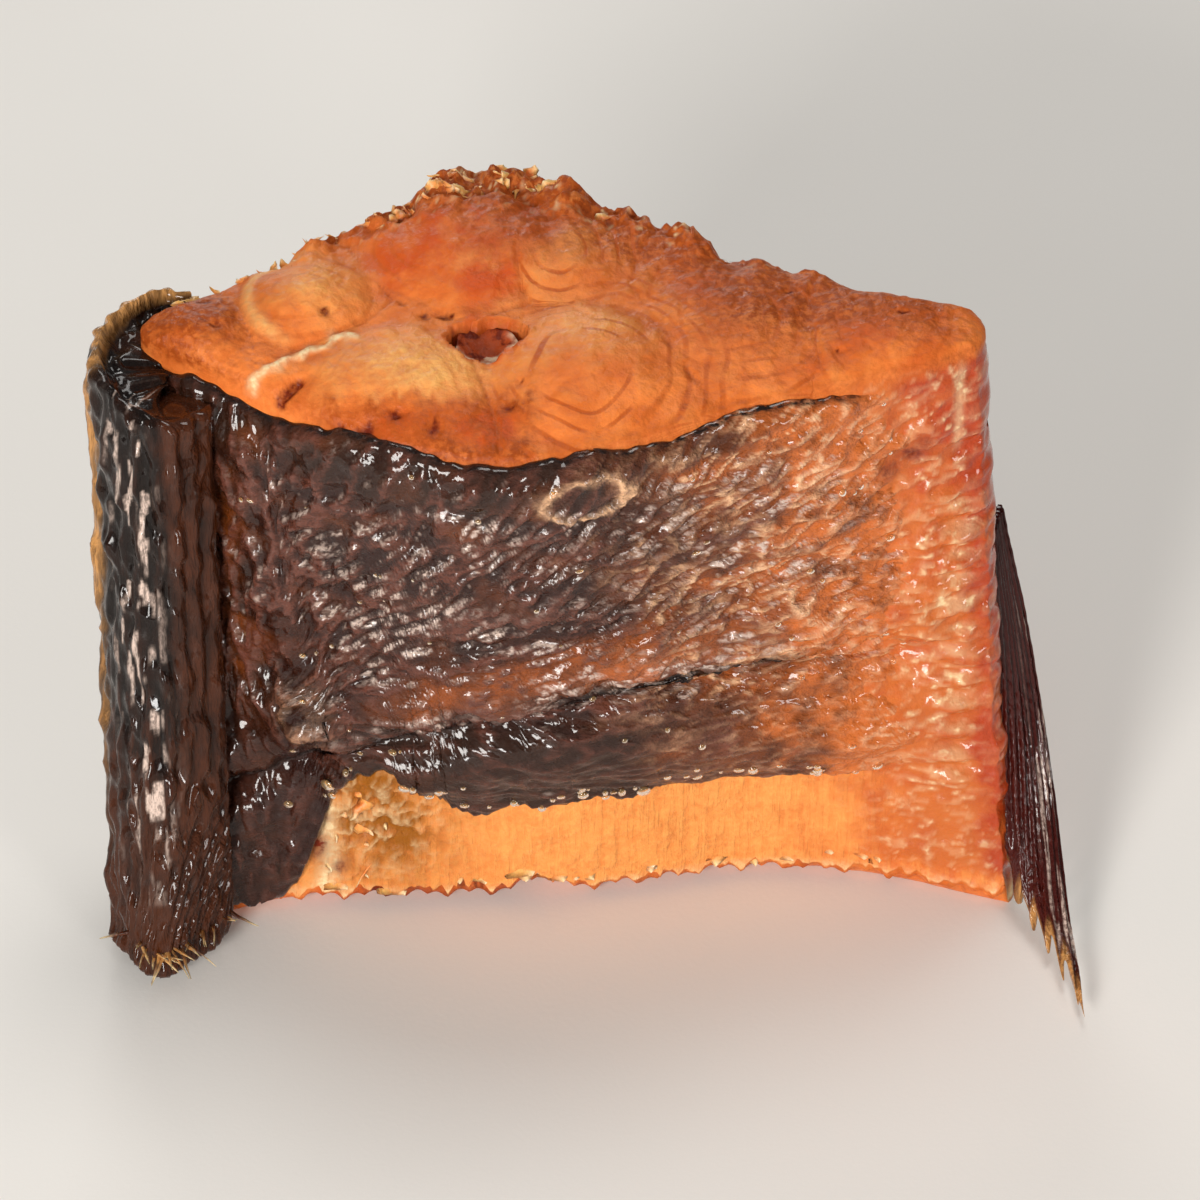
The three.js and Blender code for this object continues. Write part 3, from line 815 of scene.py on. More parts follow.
def hex_colour(text):
    """An sRGB hex colour as linear numbers."""
    parts = [int(text[i : i + 2], 16) / 255 for i in (0, 2, 4)]
    return tuple(p / 12.92 if p <= 0.04045 else ((p + 0.055) / 1.055) ** 2.4 for p in parts)


# Numbers of the colour mix's sockets
MIX_SHARE = 0
MIX_FIRST = 6
MIX_SECOND = 7
MIX_RESULT = 2


def add_node(tree, kind, settings=None, inputs=None):
    """Adds a node with its settings, and sets or links its inputs."""
    made = tree.nodes.new(kind)
    for key, value in (settings or {}).items():
        setattr(made, key, value)
    for key, value in (inputs or {}).items():
        if isinstance(value, bpy.types.NodeSocket):
            tree.links.new(value, made.inputs[key])
        else:
            made.inputs[key].default_value = value
    return made


def new_material(name):
    """An empty material and its node tree."""
    material = bpy.data.materials.new(name)
    material.use_nodes = True
    material.node_tree.nodes.clear()
    return material, material.node_tree


def finish_material(tree, settings):
    """The surface shader and the output."""
    shader = add_node(tree, "ShaderNodeBsdfPrincipled", inputs=settings)
    add_node(tree, "ShaderNodeOutputMaterial", inputs={"Surface": shader.outputs["BSDF"]})


def patterns(tree, sizes):
    """Noise patterns by name: each has a size in mm, a stretch along each axis, and its detail."""
    place = add_node(tree, "ShaderNodeTexCoord").outputs["Object"]
    made = {}
    for name, (size, stretch, detail) in sizes.items():
        scale = tuple(1 / part for part in stretch)
        scaled = add_node(tree, "ShaderNodeMapping", inputs={"Vector": place, "Scale": scale})
        settings = {
            "Vector": scaled.outputs[0],
            "Scale": 1 / (size * MM),
            "Detail": detail,
            "Roughness": 0.6,
        }
        made[name] = add_node(tree, "ShaderNodeTexNoise", inputs=settings).outputs[0]
    return made


def mask_sockets(tree, names):
    """The masks that a piece carries, by name."""
    found = {}
    for name in names:
        attribute = add_node(tree, "ShaderNodeAttribute", {"attribute_name": name})
        found[name] = attribute.outputs["Fac"]
    return found


def broken(tree, mask, pattern, share):
    """A mask that a pattern makes uneven by a share of its strength."""
    numbers = {0: pattern, 1: 2 * share, 2: 1 - share}
    factor = add_node(tree, "ShaderNodeMath", {"operation": "MULTIPLY_ADD"}, numbers)
    settings = {"operation": "MULTIPLY", "use_clamp": True}
    return add_node(tree, "ShaderNodeMath", settings, {0: mask, 1: factor.outputs[0]}).outputs[0]


def weakened(tree, mask, share):
    """A mask or pattern times a share, which may be a mask itself."""
    times = {"operation": "MULTIPLY"}
    return add_node(tree, "ShaderNodeMath", times, {0: mask, 1: share}).outputs[0]


def sharpened(tree, pattern, low, high):
    """A pattern spread from 0 to 1 between two of its values."""
    smooth = {"interpolation_type": "SMOOTHSTEP"}
    reach = {"Value": pattern, "From Min": low, "From Max": high}
    return add_node(tree, "ShaderNodeMapRange", smooth, reach).outputs[0]


def coloured(tree, base, layers):
    """Colours laid over a base colour, each where its mask is high."""
    result = (*base, 1)
    for mask, colour in layers:
        mixed = {MIX_SHARE: mask, MIX_FIRST: result, MIX_SECOND: (*colour, 1)}
        result = add_node(tree, "ShaderNodeMix", {"data_type": "RGBA"}, mixed).outputs[MIX_RESULT]
    return result


def relief_normal(tree, parts, depth):
    """Bumps from (pattern, strength) parts, with a depth in mm."""
    height = 0
    for pattern, strength in parts:
        numbers = {0: pattern, 1: strength, 2: height}
        height = add_node(tree, "ShaderNodeMath", {"operation": "MULTIPLY_ADD"}, numbers).outputs[0]
    bump_inputs = {"Height": height, "Distance": depth * MM}
    return add_node(tree, "ShaderNodeBump", inputs=bump_inputs).outputs[0]


def ring_lines(tree, count, clear, width):
    """Lines where a count of rings is halfway between two whole numbers; a higher width is wider."""
    phase = weakened(tree, count, 2 * math.pi * SWIRL_SPAN)
    wave = add_node(tree, "ShaderNodeMath", {"operation": "COSINE"}, {0: phase})
    return weakened(tree, sharpened(tree, wave.outputs[0], width, -0.98), clear)


def flesh_material(colours, sizes):
    """Hot-smoked catfish, cut with a knife: moist and fine-grained, so light sinks a little into it."""
    material, tree = new_material("smoked flesh, knife-cut")
    # Muscle fibres are about 0.2 mm thick, so the grain is drawn four times as coarse to show.
    # The mottle has the size of uneven fat, and the flecks that of beads of juice
    noises = patterns(
        tree,
        {
            "grain": (0.8, (1, 1, 1), 4),
            "mottle": (5, (1, 1, 1), 4),
            "fibre": (sizes.fibre_pitch / MM, (1, 1, 12), 3),
            "fleck": (1.5, (1, 1, 1), 2),
        },
    )
    names = (
        "pale", "red", "tan", "swirl", "ringed", "shell", "shelled", "line", "deep", "cream", "film",
        "film_deep", "film_pale_and_glint", "band", "mustard",
    )
    masks = mask_sockets(tree, names)
    fibre = broken(tree, masks["band"], sharpened(tree, noises["fibre"], 0.4, 0.7), 1)
    # Each ring's line: thin, warm brown, and broken by the grain
    rings = ring_lines(tree, masks["swirl"], masks["ringed"], -0.55)
    shells = ring_lines(tree, masks["shell"], masks["shelled"], -0.2)
    mottle = sharpened(tree, noises["mottle"], 0.35, 0.65)
    grain = sharpened(tree, noises["grain"], 0.35, 0.7)
    fleck = sharpened(tree, noises["fleck"], 0.5, 0.75)
    # Pale flecks on the belly film, with painted highlights
    film_fleck_and_glint = broken(tree, masks["film_pale_and_glint"], fleck, 0.6)
    colour = coloured(
        tree,
        colours.flesh,
        [
            (mottle, colours.flesh_deep),
            (weakened(tree, grain, 0.3), colours.flesh_deep),
            (broken(tree, masks["pale"], grain, 0.35), colours.flesh_pale),
            (broken(tree, masks["red"], mottle, 0.5), colours.flesh_red),
            (broken(tree, masks["tan"], grain, 0.4), colours.tan),
            (weakened(tree, fibre, 0.2), colours.flesh_pale),
            (broken(tree, masks["mustard"], mottle, 0.5), colours.mustard),
            (broken(tree, rings, mottle, 0.35), colours.line),
            (broken(tree, shells, fleck, 0.3), colours.line),
            (broken(tree, masks["line"], grain, 0.3), colours.line),
            (masks["film"], colours.film),
            (broken(tree, masks["film_deep"], mottle, 0.4), colours.film_deep),
            (film_fleck_and_glint, colours.cream),
            (broken(tree, masks["cream"], grain, 0.4), colours.cream),
            (broken(tree, masks["deep"], grain, 0.3), colours.blood),
        ],
    )
    sheen = {"Value": fleck, "To Min": 0.38, "To Max": 0.22}
    roughness = add_node(tree, "ShaderNodeMapRange", inputs=sheen)
    bumps = [(noises["grain"], 0.6), (fibre, 0.15), (noises["fleck"], 0.35), (rings, -0.08)]
    finish_material(
        tree,
        {
            "Base Color": colour,
            "Roughness": roughness.outputs[0],
            "IOR": 1.45,
            "Subsurface Weight": 0.06,
            "Subsurface Radius": (1, 0.42, 0.2),
            "Subsurface Scale": 1 * MM,
            "Specular IOR Level": 0.14,
            "Coat Weight": masks["film"],
            "Coat Roughness": 0.1,
            "Coat IOR": 1.33,
            "Normal": relief_normal(tree, bumps, 0.35),
        },
    )
    return material


def skin_material(colours):
    """Catfish skin, smoked and oiled: dark and leathery and wet-glossy, with painted highlights on its
    crests.
    """
    material, tree = new_material("smoked skin, oiled")
    # The skin's pores are under 0.1 mm, too fine to show, so they are drawn at 0.45 mm. The
    # creases and flecks have the size of the finest folds that the oil dries on
    noises = patterns(
        tree,
        {
            "pores": (0.45, (1, 1, 1), 3),
            "mottle": (4, (1, 1, 1), 4),
            "creases": (0.7, (1.8, 1, 1), 4),
            "wet": (2.2, (1, 1, 1), 2),
            "flecks": (0.55, (2.2, 1, 1), 3),
        },
    )
    names = (
        "crest", "amber", "glow", "clear", "pale", "olive", "crease_shade", "edge", "glint", "hole_shade",
    )
    masks = mask_sockets(tree, names)
    mottle = sharpened(tree, noises["mottle"], 0.35, 0.65)
    creases = sharpened(tree, noises["creases"], 0.4, 0.62)
    wet = sharpened(tree, noises["wet"], 0.4, 0.6)
    # Painted highlights: the glint mask, broken into flecks, in the highlight colour
    dried = broken(tree, masks["glint"], sharpened(tree, noises["flecks"], 0.42, 0.58), 0.75)
    colour = coloured(
        tree,
        colours.skin,
        [
            (broken(tree, masks["olive"], mottle, 0.4), colours.skin_olive),
            (broken(tree, masks["amber"], mottle, 0.45), colours.amber),
            # Painted highlights on the tops of the wrinkles
            (broken(tree, masks["crest"], creases, 0.5), colours.skin_crest_highlight),
            (broken(tree, masks["glow"], creases, 0.3), colours.film),
            (masks["clear"], colours.film),
            (broken(tree, masks["pale"], creases, 0.4), colours.skin_pale),
            (dried, colours.highlight_paint),
            # Painted shade in the main crease
            (broken(tree, masks["crease_shade"], creases, 0.3), colours.skin_dark),
            (broken(tree, masks["edge"], creases, 0.8), colours.skin_dark),
            # Painted shade of the torn holes
            (broken(tree, masks["hole_shade"], creases, 0.2), colours.blood),
        ],
    )
    # The clear skin of the belly is thin and taut, so its creases are shallower
    depth = {"Value": masks["clear"], "To Min": 1, "To Max": 0.35}
    taut = add_node(tree, "ShaderNodeMapRange", inputs=depth)
    shallower = weakened(tree, noises["creases"], taut.outputs[0])
    sheen = {"Value": wet, "To Min": 0.38, "To Max": 0.2}
    roughness = add_node(tree, "ShaderNodeMapRange", inputs=sheen)
    finish_material(
        tree,
        {
            "Base Color": colour,
            "Roughness": roughness.outputs[0],
            "IOR": 1.47,
            "Specular IOR Level": 0.1,
            "Subsurface Weight": 0.03,
            "Subsurface Radius": (1, 0.35, 0.15),
            "Subsurface Scale": 1 * MM,
            "Coat Weight": 1,
            "Coat Roughness": 0.1,
            "Coat IOR": 1.36,
            "Normal": relief_normal(tree, [(shallower, 1), (noises["pores"], 0.2)], 0.8),
        },
    )
    return material


def fin_material(name, colours, dark, brown):
    """Fin membrane dried over its rays: almost black, shiny along each ray, with painted highlights,
    tan where it is thin.
    """
    material, tree = new_material(name)
    # The streaks have the distance of a ray's branches. The membrane's own grain is about
    # 0.1 mm, so it is drawn at 0.5 mm to show
    noises = patterns(
        tree,
        {
            "streak": (0.7, (1, 1, 10), 3),
            "mottle": (4, (1, 1, 2), 3),
            "grain": (0.5, (1, 1, 2), 3),
        },
    )
    masks = mask_sockets(tree, ("ray", "rim", "brown", "lit"))
    # Painted highlights where the lit mask is high
    dried = broken(tree, masks["lit"], sharpened(tree, noises["grain"], 0.35, 0.6), 0.5)
    streak = sharpened(tree, noises["streak"], 0.4, 0.65)
    mottle = sharpened(tree, noises["mottle"], 0.35, 0.65)
    colour = coloured(
        tree,
        dark,
        [
            (broken(tree, masks["brown"], mottle, 0.5), brown),
            (broken(tree, masks["ray"], streak, 0.7), brown),
            (dried, colours.highlight_paint),
            (broken(tree, masks["rim"], streak, 0.35), colours.fin_rim),
        ],
    )
    sheen = {"Value": streak, "To Min": 0.2, "To Max": 0.38}
    roughness = add_node(tree, "ShaderNodeMapRange", inputs=sheen)
    finish_material(
        tree,
        {
            "Base Color": colour,
            "Roughness": roughness.outputs[0],
            "IOR": 1.47,
            "Specular IOR Level": 0.05,
            "Coat Weight": 1,
            "Coat Roughness": 0.1,
            "Coat IOR": 1.32,
            "Normal": relief_normal(tree, [(noises["streak"], 1), (noises["grain"], 0.25)], 0.8),
        },
    )
    return material


def bone_material(colours):
    """Cooked vertebra: pale and chalky, with dark red marrow in its hollow."""
    material, tree = new_material("cooked bone")
    # Bone's pores are about 0.1 mm, so its grain is drawn at 0.5 mm to show
    noises = patterns(tree, {"grain": (0.5, (1, 1, 1), 4), "stain": (2, (1, 1, 1), 3)})
    masks = mask_sockets(tree, ("marrow",))
    stain = sharpened(tree, noises["stain"], 0.45, 0.7)
    colour = coloured(
        tree,
        colours.bone,
        [
            (broken(tree, stain, noises["grain"], 0.5), colours.tan),
            (masks["marrow"], colours.marrow),
            (broken(tree, masks["marrow"], stain, 1), colours.blood),
        ],
    )
    finish_material(
        tree,
        {
            "Base Color": colour,
            "Roughness": 0.45,
            "IOR": 1.5,
            "Specular IOR Level": 0.2,
            "Subsurface Weight": 0.15,
            "Subsurface Radius": (1, 0.7, 0.5),
            "Subsurface Scale": 1 * MM,
            "Normal": relief_normal(tree, [(noises["grain"], 0.7)], 0.25),
        },
    )
    return material


def torn_material(name, base, patch, tip):
    """Torn membrane and fibre ends: thin and dry, so they look pale at their tips."""
    material, tree = new_material(name)
    # Single fibres are about 0.2 mm thick, so the grain is drawn three times as coarse to show
    noises = patterns(tree, {"grain": (0.6, (1, 1, 3), 3), "mottle": (3, (1, 1, 1), 3)})
    masks = mask_sockets(tree, ("tip",))
    mottle = sharpened(tree, noises["mottle"], 0.38, 0.62)
    worn = broken(tree, masks["tip"], noises["grain"], 0.5)
    colour = coloured(tree, base, [(mottle, patch), (worn, tip)])
    finish_material(
        tree,
        {
            "Base Color": colour,
            "Roughness": 0.4,
            "IOR": 1.45,
            "Subsurface Weight": 0.25,
            "Subsurface Radius": (1, 0.5, 0.25),
            "Subsurface Scale": 1 * MM,
            "Normal": relief_normal(tree, [(noises["grain"], 0.8)], 0.2),
        },
    )
    return material


def oil_material(colours):
    """Fish oil and smoke juices in drops: clear amber, very smooth."""
    material, tree = new_material("fish oil, in drops")
    noises = patterns(tree, {"tint": (1.5, (1, 1, 1), 2)})
    colour = coloured(tree, colours.oil, [(noises["tint"], colours.oil_deep)])
    finish_material(
        tree,
        {
            "Base Color": colour,
            "Roughness": 0.04,
            "IOR": 1.47,
            "Transmission Weight": 0.85,
        },
    )
    return material


def floor_material(colours):
    """Seamless studio paper: matt, pale, with a faint tooth."""
    material, tree = new_material("studio paper, matt")
    # Paper's tooth is about 0.1 mm, so it is drawn at 0.6 mm to show
    noises = patterns(tree, {"tooth": (0.6, (1, 1, 1), 3), "cloud": (90, (1, 1, 1), 2)})
    colour = coloured(tree, colours.floor, [(noises["cloud"], colours.floor_shade)])
    finish_material(
        tree,
        {
            "Base Color": colour,
            "Roughness": 0.75,
            "Normal": relief_normal(tree, [(noises["tooth"], 0.3)], 0.05),
        },
    )
    return material


# What a user may change


def length_property(name, text, millimetres):
    return bpy.props.FloatProperty(
        name=name, description=text, default=millimetres * MM,
        min=0, precision=5, subtype="DISTANCE", unit="LENGTH",
    )


def colour_property(name, text, code):
    return bpy.props.FloatVectorProperty(
        name=name, description=text, default=hex_colour(code),
        min=0, max=1, size=3, subtype="COLOR",
    )


class FishSizes(bpy.types.PropertyGroup):
    """Sizes of the fine relief"""

    wrinkle_pitch: length_property("Wrinkle pitch", "Distance between the skin's wrinkles", 1)
    wrinkle_height: length_property("Wrinkle height", "How far the wrinkles stand up", 0.36)
    ring_pitch: length_property("Ring pitch", "Distance between the muscle rings on the cut", 2.1)
    fibre_pitch: length_property("Fibre pitch", "Distance between fibres on the torn band", 0.8)
    ray_pitch: length_property("Fin ray pitch", "Distance between the fins' rays", 1.7)
    flake_length: length_property("Flake length", "Length of the torn flakes along the cut's rim", 2.1)
    drop_radius: length_property("Drop radius", "Radius of the oil drops", 0.5)


class FishColours(bpy.types.PropertyGroup):
    """Colours of the flesh, skin, fins, bone, oil and stage"""

    flesh: colour_property("Flesh", "Smoked flesh", "e8823e")
    flesh_deep: colour_property("Flesh, deeper", "Uneven patches in the flesh", "d06a2c")
    flesh_pale: colour_property("Flesh, pale", "Pale lobes and fibres", "f2ae60")
    flesh_red: colour_property("Flesh, red", "Redder muscle near the backbone", "c4501e")
    tan: colour_property("Tan", "Flesh that has dried at the rim", "984416")
    line: colour_property("Ring lines", "Lines between the muscle rings", "b4541f")
    cream: colour_property("Cream", "Connective tissue and torn tips", "ecd0a0")
    blood: colour_property("Dark red", "Pits, slits and marrow", "6b220c")
    marrow: colour_property("Marrow", "Marrow in the end of the backbone", "a84820")
    film: colour_property("Belly film", "Clear skin over the flesh of the belly", "c0642a")
    film_deep: colour_property("Belly edge", "Redder clear skin on the belly's edge", "a93c16")
    mustard: colour_property("Mustard", "Fat under the torn corner of the skin", "93571a")
    skin: colour_property("Skin", "Smoked skin", "2b1008")
    # Used for painted shade in the main crease as well as for the dark rims
    skin_dark: colour_property("Skin, darkest", "Creases and rims", "180a06")
    skin_crest_highlight: colour_property("Skin crests", "Worn tops of the wrinkles", "65392c")
    # Painted highlight colour for the tops of the wrinkles
    skin_olive: colour_property("Skin, olive", "Smooth stretches", "2d170c")
    skin_pale: colour_property("Skin, pale", "Flaked and thin places", "e6b48a")
    amber: colour_property("Amber", "Thin skin over fat", "8a4418")
    fin_black: colour_property("Back fin", "Folded back fin", "120a07")
    fin_brown: colour_property("Fin rays", "Rays of the back fin", "45210f")
    fin_rim: colour_property("Fin rim", "Thin edge of the fins", "c08a50")
    belly_dark: colour_property("Belly fin", "Membrane of the belly fin", "3a0b06")
    belly_brown: colour_property("Belly fin rays", "Rays of the belly fin", "521a12")
    bone: colour_property("Bone", "Vertebrae", "e8d3b4")
    # Painted highlight colour, for the glints on the skin's crests and the fins' rays
    highlight_paint: colour_property("Dried oil", "Oil that has dried on crests and rays", "d4bcae")
    oil: colour_property("Oil", "Drops of fish oil", "ffd9a0")
    oil_deep: colour_property("Oil, deeper", "Darker places in the drops", "e8b060")
    floor: colour_property("Floor", "Studio paper", "e9e7e3")
    floor_shade: colour_property("Floor, shaded", "Faint clouds in the paper", "e3e0db")


# Operators

FLESH_STATIONS = (280, 100, 140)  # along the fish's depth, its thickness and its length
# Holes in the mustard fat, drawn only as dark red painted shade with no depth: centre, half sizes and
# strength
FAT_HOLE_SHADE = [(-27, 9.5, 1.6, 2.2, 1), (-24.5, 6.2, 1.1, 1.2, 0.8), (-26, 14, 0.9, 1, 0.8)]


def flesh_surface(s, n, t, sizes):
    """Points of the flesh with its fine relief, and the masks that colour it."""
    x, y, z = body_point(s, n, t)
    shown = n < 0
    rim = rim_share(s, n)
    top = smoothstep(t, 0.968, 0.998)
    floor_cut = 1 - smoothstep(t, 0, 0.004)
    cut, masks = cut_surface(x, y, rim, sizes.ring_pitch / MM)
    facing = np.maximum(top, floor_cut)
    side = 1 - facing
    film = smoothstep(s + 0.05 * layered(x / 5, z / 5, 6.5, 58), 0.78, 0.92)
    film = film * side * smoothstep(t, 0.02, 0.06)
    pitch = sizes.wrinkle_pitch / MM
    wrinkle, skin_masks = skin_relief(x, z, shown, pitch, sizes.wrinkle_height / MM)
    band = (1 - smoothstep(z, 22, 30)) * side * (1 - film)
    striation = layered(x / 0.8, z / 11, 0.5, 51, 2)
    lumps = layered(x / 3, z / 3, 1.5, 52)
    flank = np.clip(rim, 0, 1) ** 6 * np.sign(n)
    corner = bump(x, -20, 7) * bump(z, 15.5, 9) * shown * side
    crinkled = 1 - 2.5 * np.abs(layered(x / 2.4, z / 3.6, 2.5, 56))
    outward = film * (0.9 * wrinkle + 0.2 * lumps) + 0.8 * corner * crinkled
    outward = outward + band * (0.06 * striation + 0.2 * lumps)
    y = y + outward * flank
    x = x + smoothstep(s, 0.985, 1) * film * 0.5 * lumps
    teeth = np.abs(noise(x / 1.3, 0.5, 0.5, 53)) + 0.6 * np.abs(noise(x / 0.6, 0.5, 3.5, 54))
    teeth = teeth * (1.5 + 2 * bump(x, -8, 9))
    teeth = np.where(shown, teeth * (1 - t) ** 30 * smoothstep(-n, 0.8, 1), 0)
    z = z + teeth * (1 - floor_cut * (rim < 1))
    z = z + top * cut
    for name in masks:
        masks[name] = masks[name] * facing
    low_edge = (1 - smoothstep(z, 0.8, 3.6)) * side
    low_edge = low_edge * (0.65 + 0.7 * noise(x / 1.5, z / 1.5, 0.5, 55))
    mustard = corner * (1.3 - 0.4 * smoothstep(x, -17, -12))
    fat_hole_shade = spots(x, z, FAT_HOLE_SHADE) * shown
    # Painted highlights on the belly ridge: cream on the crest of each ray knob, and a long upright
    # streak
    knobs = bump(x, 45.6, 1.5) * smoothstep(np.cos(2 * np.pi * z / KNOB_PITCH), 0.55, 0.95)
    knobs = knobs * smoothstep(z, 14, 20) * (1 - smoothstep(z, 52, 58))
    long_glint = bump(x, 44.7, 0.5) * smoothstep(z, 60, 63) * (1 - smoothstep(z, 71, 74))
    torn_rim = bump(x, -26 + 1.2 * noise(z / 3, 0.5, 0.5, 57), 1.2) * smoothstep(-z, -24, -20) * shown
    torn_white = 0.8 * torn_rim + 0.5 * corner * smoothstep(crinkled, 0.4, 1)
    # Painted shade: the low spots of the crinkled corner are darkened with tan
    hollow_shade = corner * (1 - smoothstep(crinkled, -0.3, 0.4))
    masks["cream"] = masks["cream"] + low_edge + side * torn_white
    # The holes' painted shade goes into the dark red
    masks["deep"] = masks["deep"] + (fat_hole_shade + 0.8 * skin_masks["hole_shade"]) * side
    masks["red"] = masks["red"] + side * 0.5 * smoothstep(x, 20, 44) + 0.15 * striation * band
    masks["tan"] = masks["tan"] + 0.3 * band * smoothstep(-x, 2, 20) + 0.8 * hollow_shade
    masks["pale"] = masks["pale"] + 0.45 * band * (1 + 0.25 * striation)
    upper = smoothstep(z, 52, 62) * smoothstep(s, 0.88, 0.94)
    masks["film_deep"] = film * (0.15 + 0.8 * smoothstep(s, 0.955, 1) + 0.4 * lumps + 0.6 * upper)
    flecks = 1.3 * skin_masks["pale"] * (1 - 0.6 * smoothstep(s, 0.95, 1))
    masks["film_pale_and_glint"] = film * (flecks + (0.8 * knobs + long_glint) * shown)
    masks.update(film=film, band=band, mustard=mustard)
    return np.stack([x, y, z], -1), masks


class SMOKED_FISH_OT_flesh(bpy.types.Operator):
    """Adds the flesh: the knife-cut face, the torn band and the belly ridge"""

    bl_idname = "smoked_fish.flesh"
    bl_label = "Flesh"

    def execute(self, context):
        sizes = context.scene.fish_sizes
        ni, nj, nk = FLESH_STATIONS
        s = np.linspace(0, 1, ni)
        n = np.linspace(-1, 1, nj)
        t = np.linspace(0, 1, nk)
        # Stations that the skin or the floor hides need no detail
        skinned = (s < 0.7)[:, None]
        under_skin = skinned & ((t > 0.36) & (t < 0.9))[None, :]
        under_other = skinned & ((t > 0.1) & (t < 0.93))[None, :]
        hidden = {
            "front": under_skin,
            "rear": under_other.T,
            "left": np.ones((nk, nj), bool),
            "bottom": np.ones((nj, ni), bool),
        }
        (i, j, k), faces = block_surface(FLESH_STATIONS, hidden, 5)
        points, masks = flesh_surface(s[i], n[j], t[k], sizes)
        material = flesh_material(context.scene.fish_colours, sizes)
        add_piece("flesh_chunk", points, faces, material, masks, ("flesh",))
        return {"FINISHED"}


class SMOKED_FISH_OT_skin(bpy.types.Operator):
    """Adds the skin: dark and wrinkled, drawn back from both cuts, clear towards the belly"""

    bl_idname = "smoked_fish.skin"
    bl_label = "Skin"

    def execute(self, context):
        sizes = context.scene.fish_sizes
        pitch = sizes.wrinkle_pitch / MM
        grid, normals, stands, masks = skin_grid(pitch, sizes.wrinkle_height / MM)
        columns, rows = stands.shape
        hidden = {"front": np.ones((columns, rows), bool)}
        (i, j, k), faces = block_surface((columns, 2, rows), hidden, 6)
        offset = np.where(j == 1, stands[i, k], -SKIN_THICK)
        points = grid[i, k] + normals[i, k] * offset[:, None]
        masks = {name: values[i, k] for name, values in masks.items()}
        material = skin_material(context.scene.fish_colours)
        add_piece("skin_jacket", points, faces, material, masks, ("skin",))
        return {"FINISHED"}


def sheet_points(at, u, v, side, thick):
    """Points on either side of a bent sheet, moved out along its normal by its half thickness."""
    step = 1e-3
    along_u = at(np.minimum(u + step, 1), v) - at(np.maximum(u - step, 0), v)
    along_v = at(u, np.minimum(v + step, 1)) - at(u, np.maximum(v - step, 0))
    normal = np.cross(along_v, along_u)
    normal /= np.linalg.norm(normal, axis=-1, keepdims=True)
    return at(u, v) + normal * (side * thick)[:, None]


# The fold seen from above: corners of its path in x and y
BACK_FOLD = [
    (-39.5, 5.6), (-43.5, 6), (-47.5, 2.6), (-49, -3.5),
    (-46.6, -9.6), (-41.8, -11.6), (-37, -7.8),
]
BACK_FOLD_STATIONS = (150, 6, 210)
FOLD_LENGTH = 30
FIN_RIM_AT = 0.53  # where along the fold its thin pale edge runs
FOLD_FILL = 5.2  # depth of the membrane's inner layers, which fill the fold


def back_fin_point(u, v):
    """Middle of the folded fin: u runs round the fold, v up from the floor."""
    fold_x, fold_y = along_path(BACK_FOLD, u)
    top = lerp(74.6, 70.5, smoothstep(u, 0.5, 1)) + 0.35 * noise(u * 12, 0.5, 0.5, 61)
    ragged = 0.7 * np.abs(np.sin(u * 13))
    z = lerp(FLOOR_CLEAR + 0.2 + ragged, top, v)
    t = np.clip(z / HEIGHT, 0, 1)
    s = np.clip((fold_x - back_x(t)) / (belly_x(t) - back_x(t)), 0, 1)
    offset = fold_y * (1 + np.where(fold_y < 0, -0.2, 0.35) * (1 - t))
    return np.stack([fold_x, offset + middle_y(s, t), z], -1)


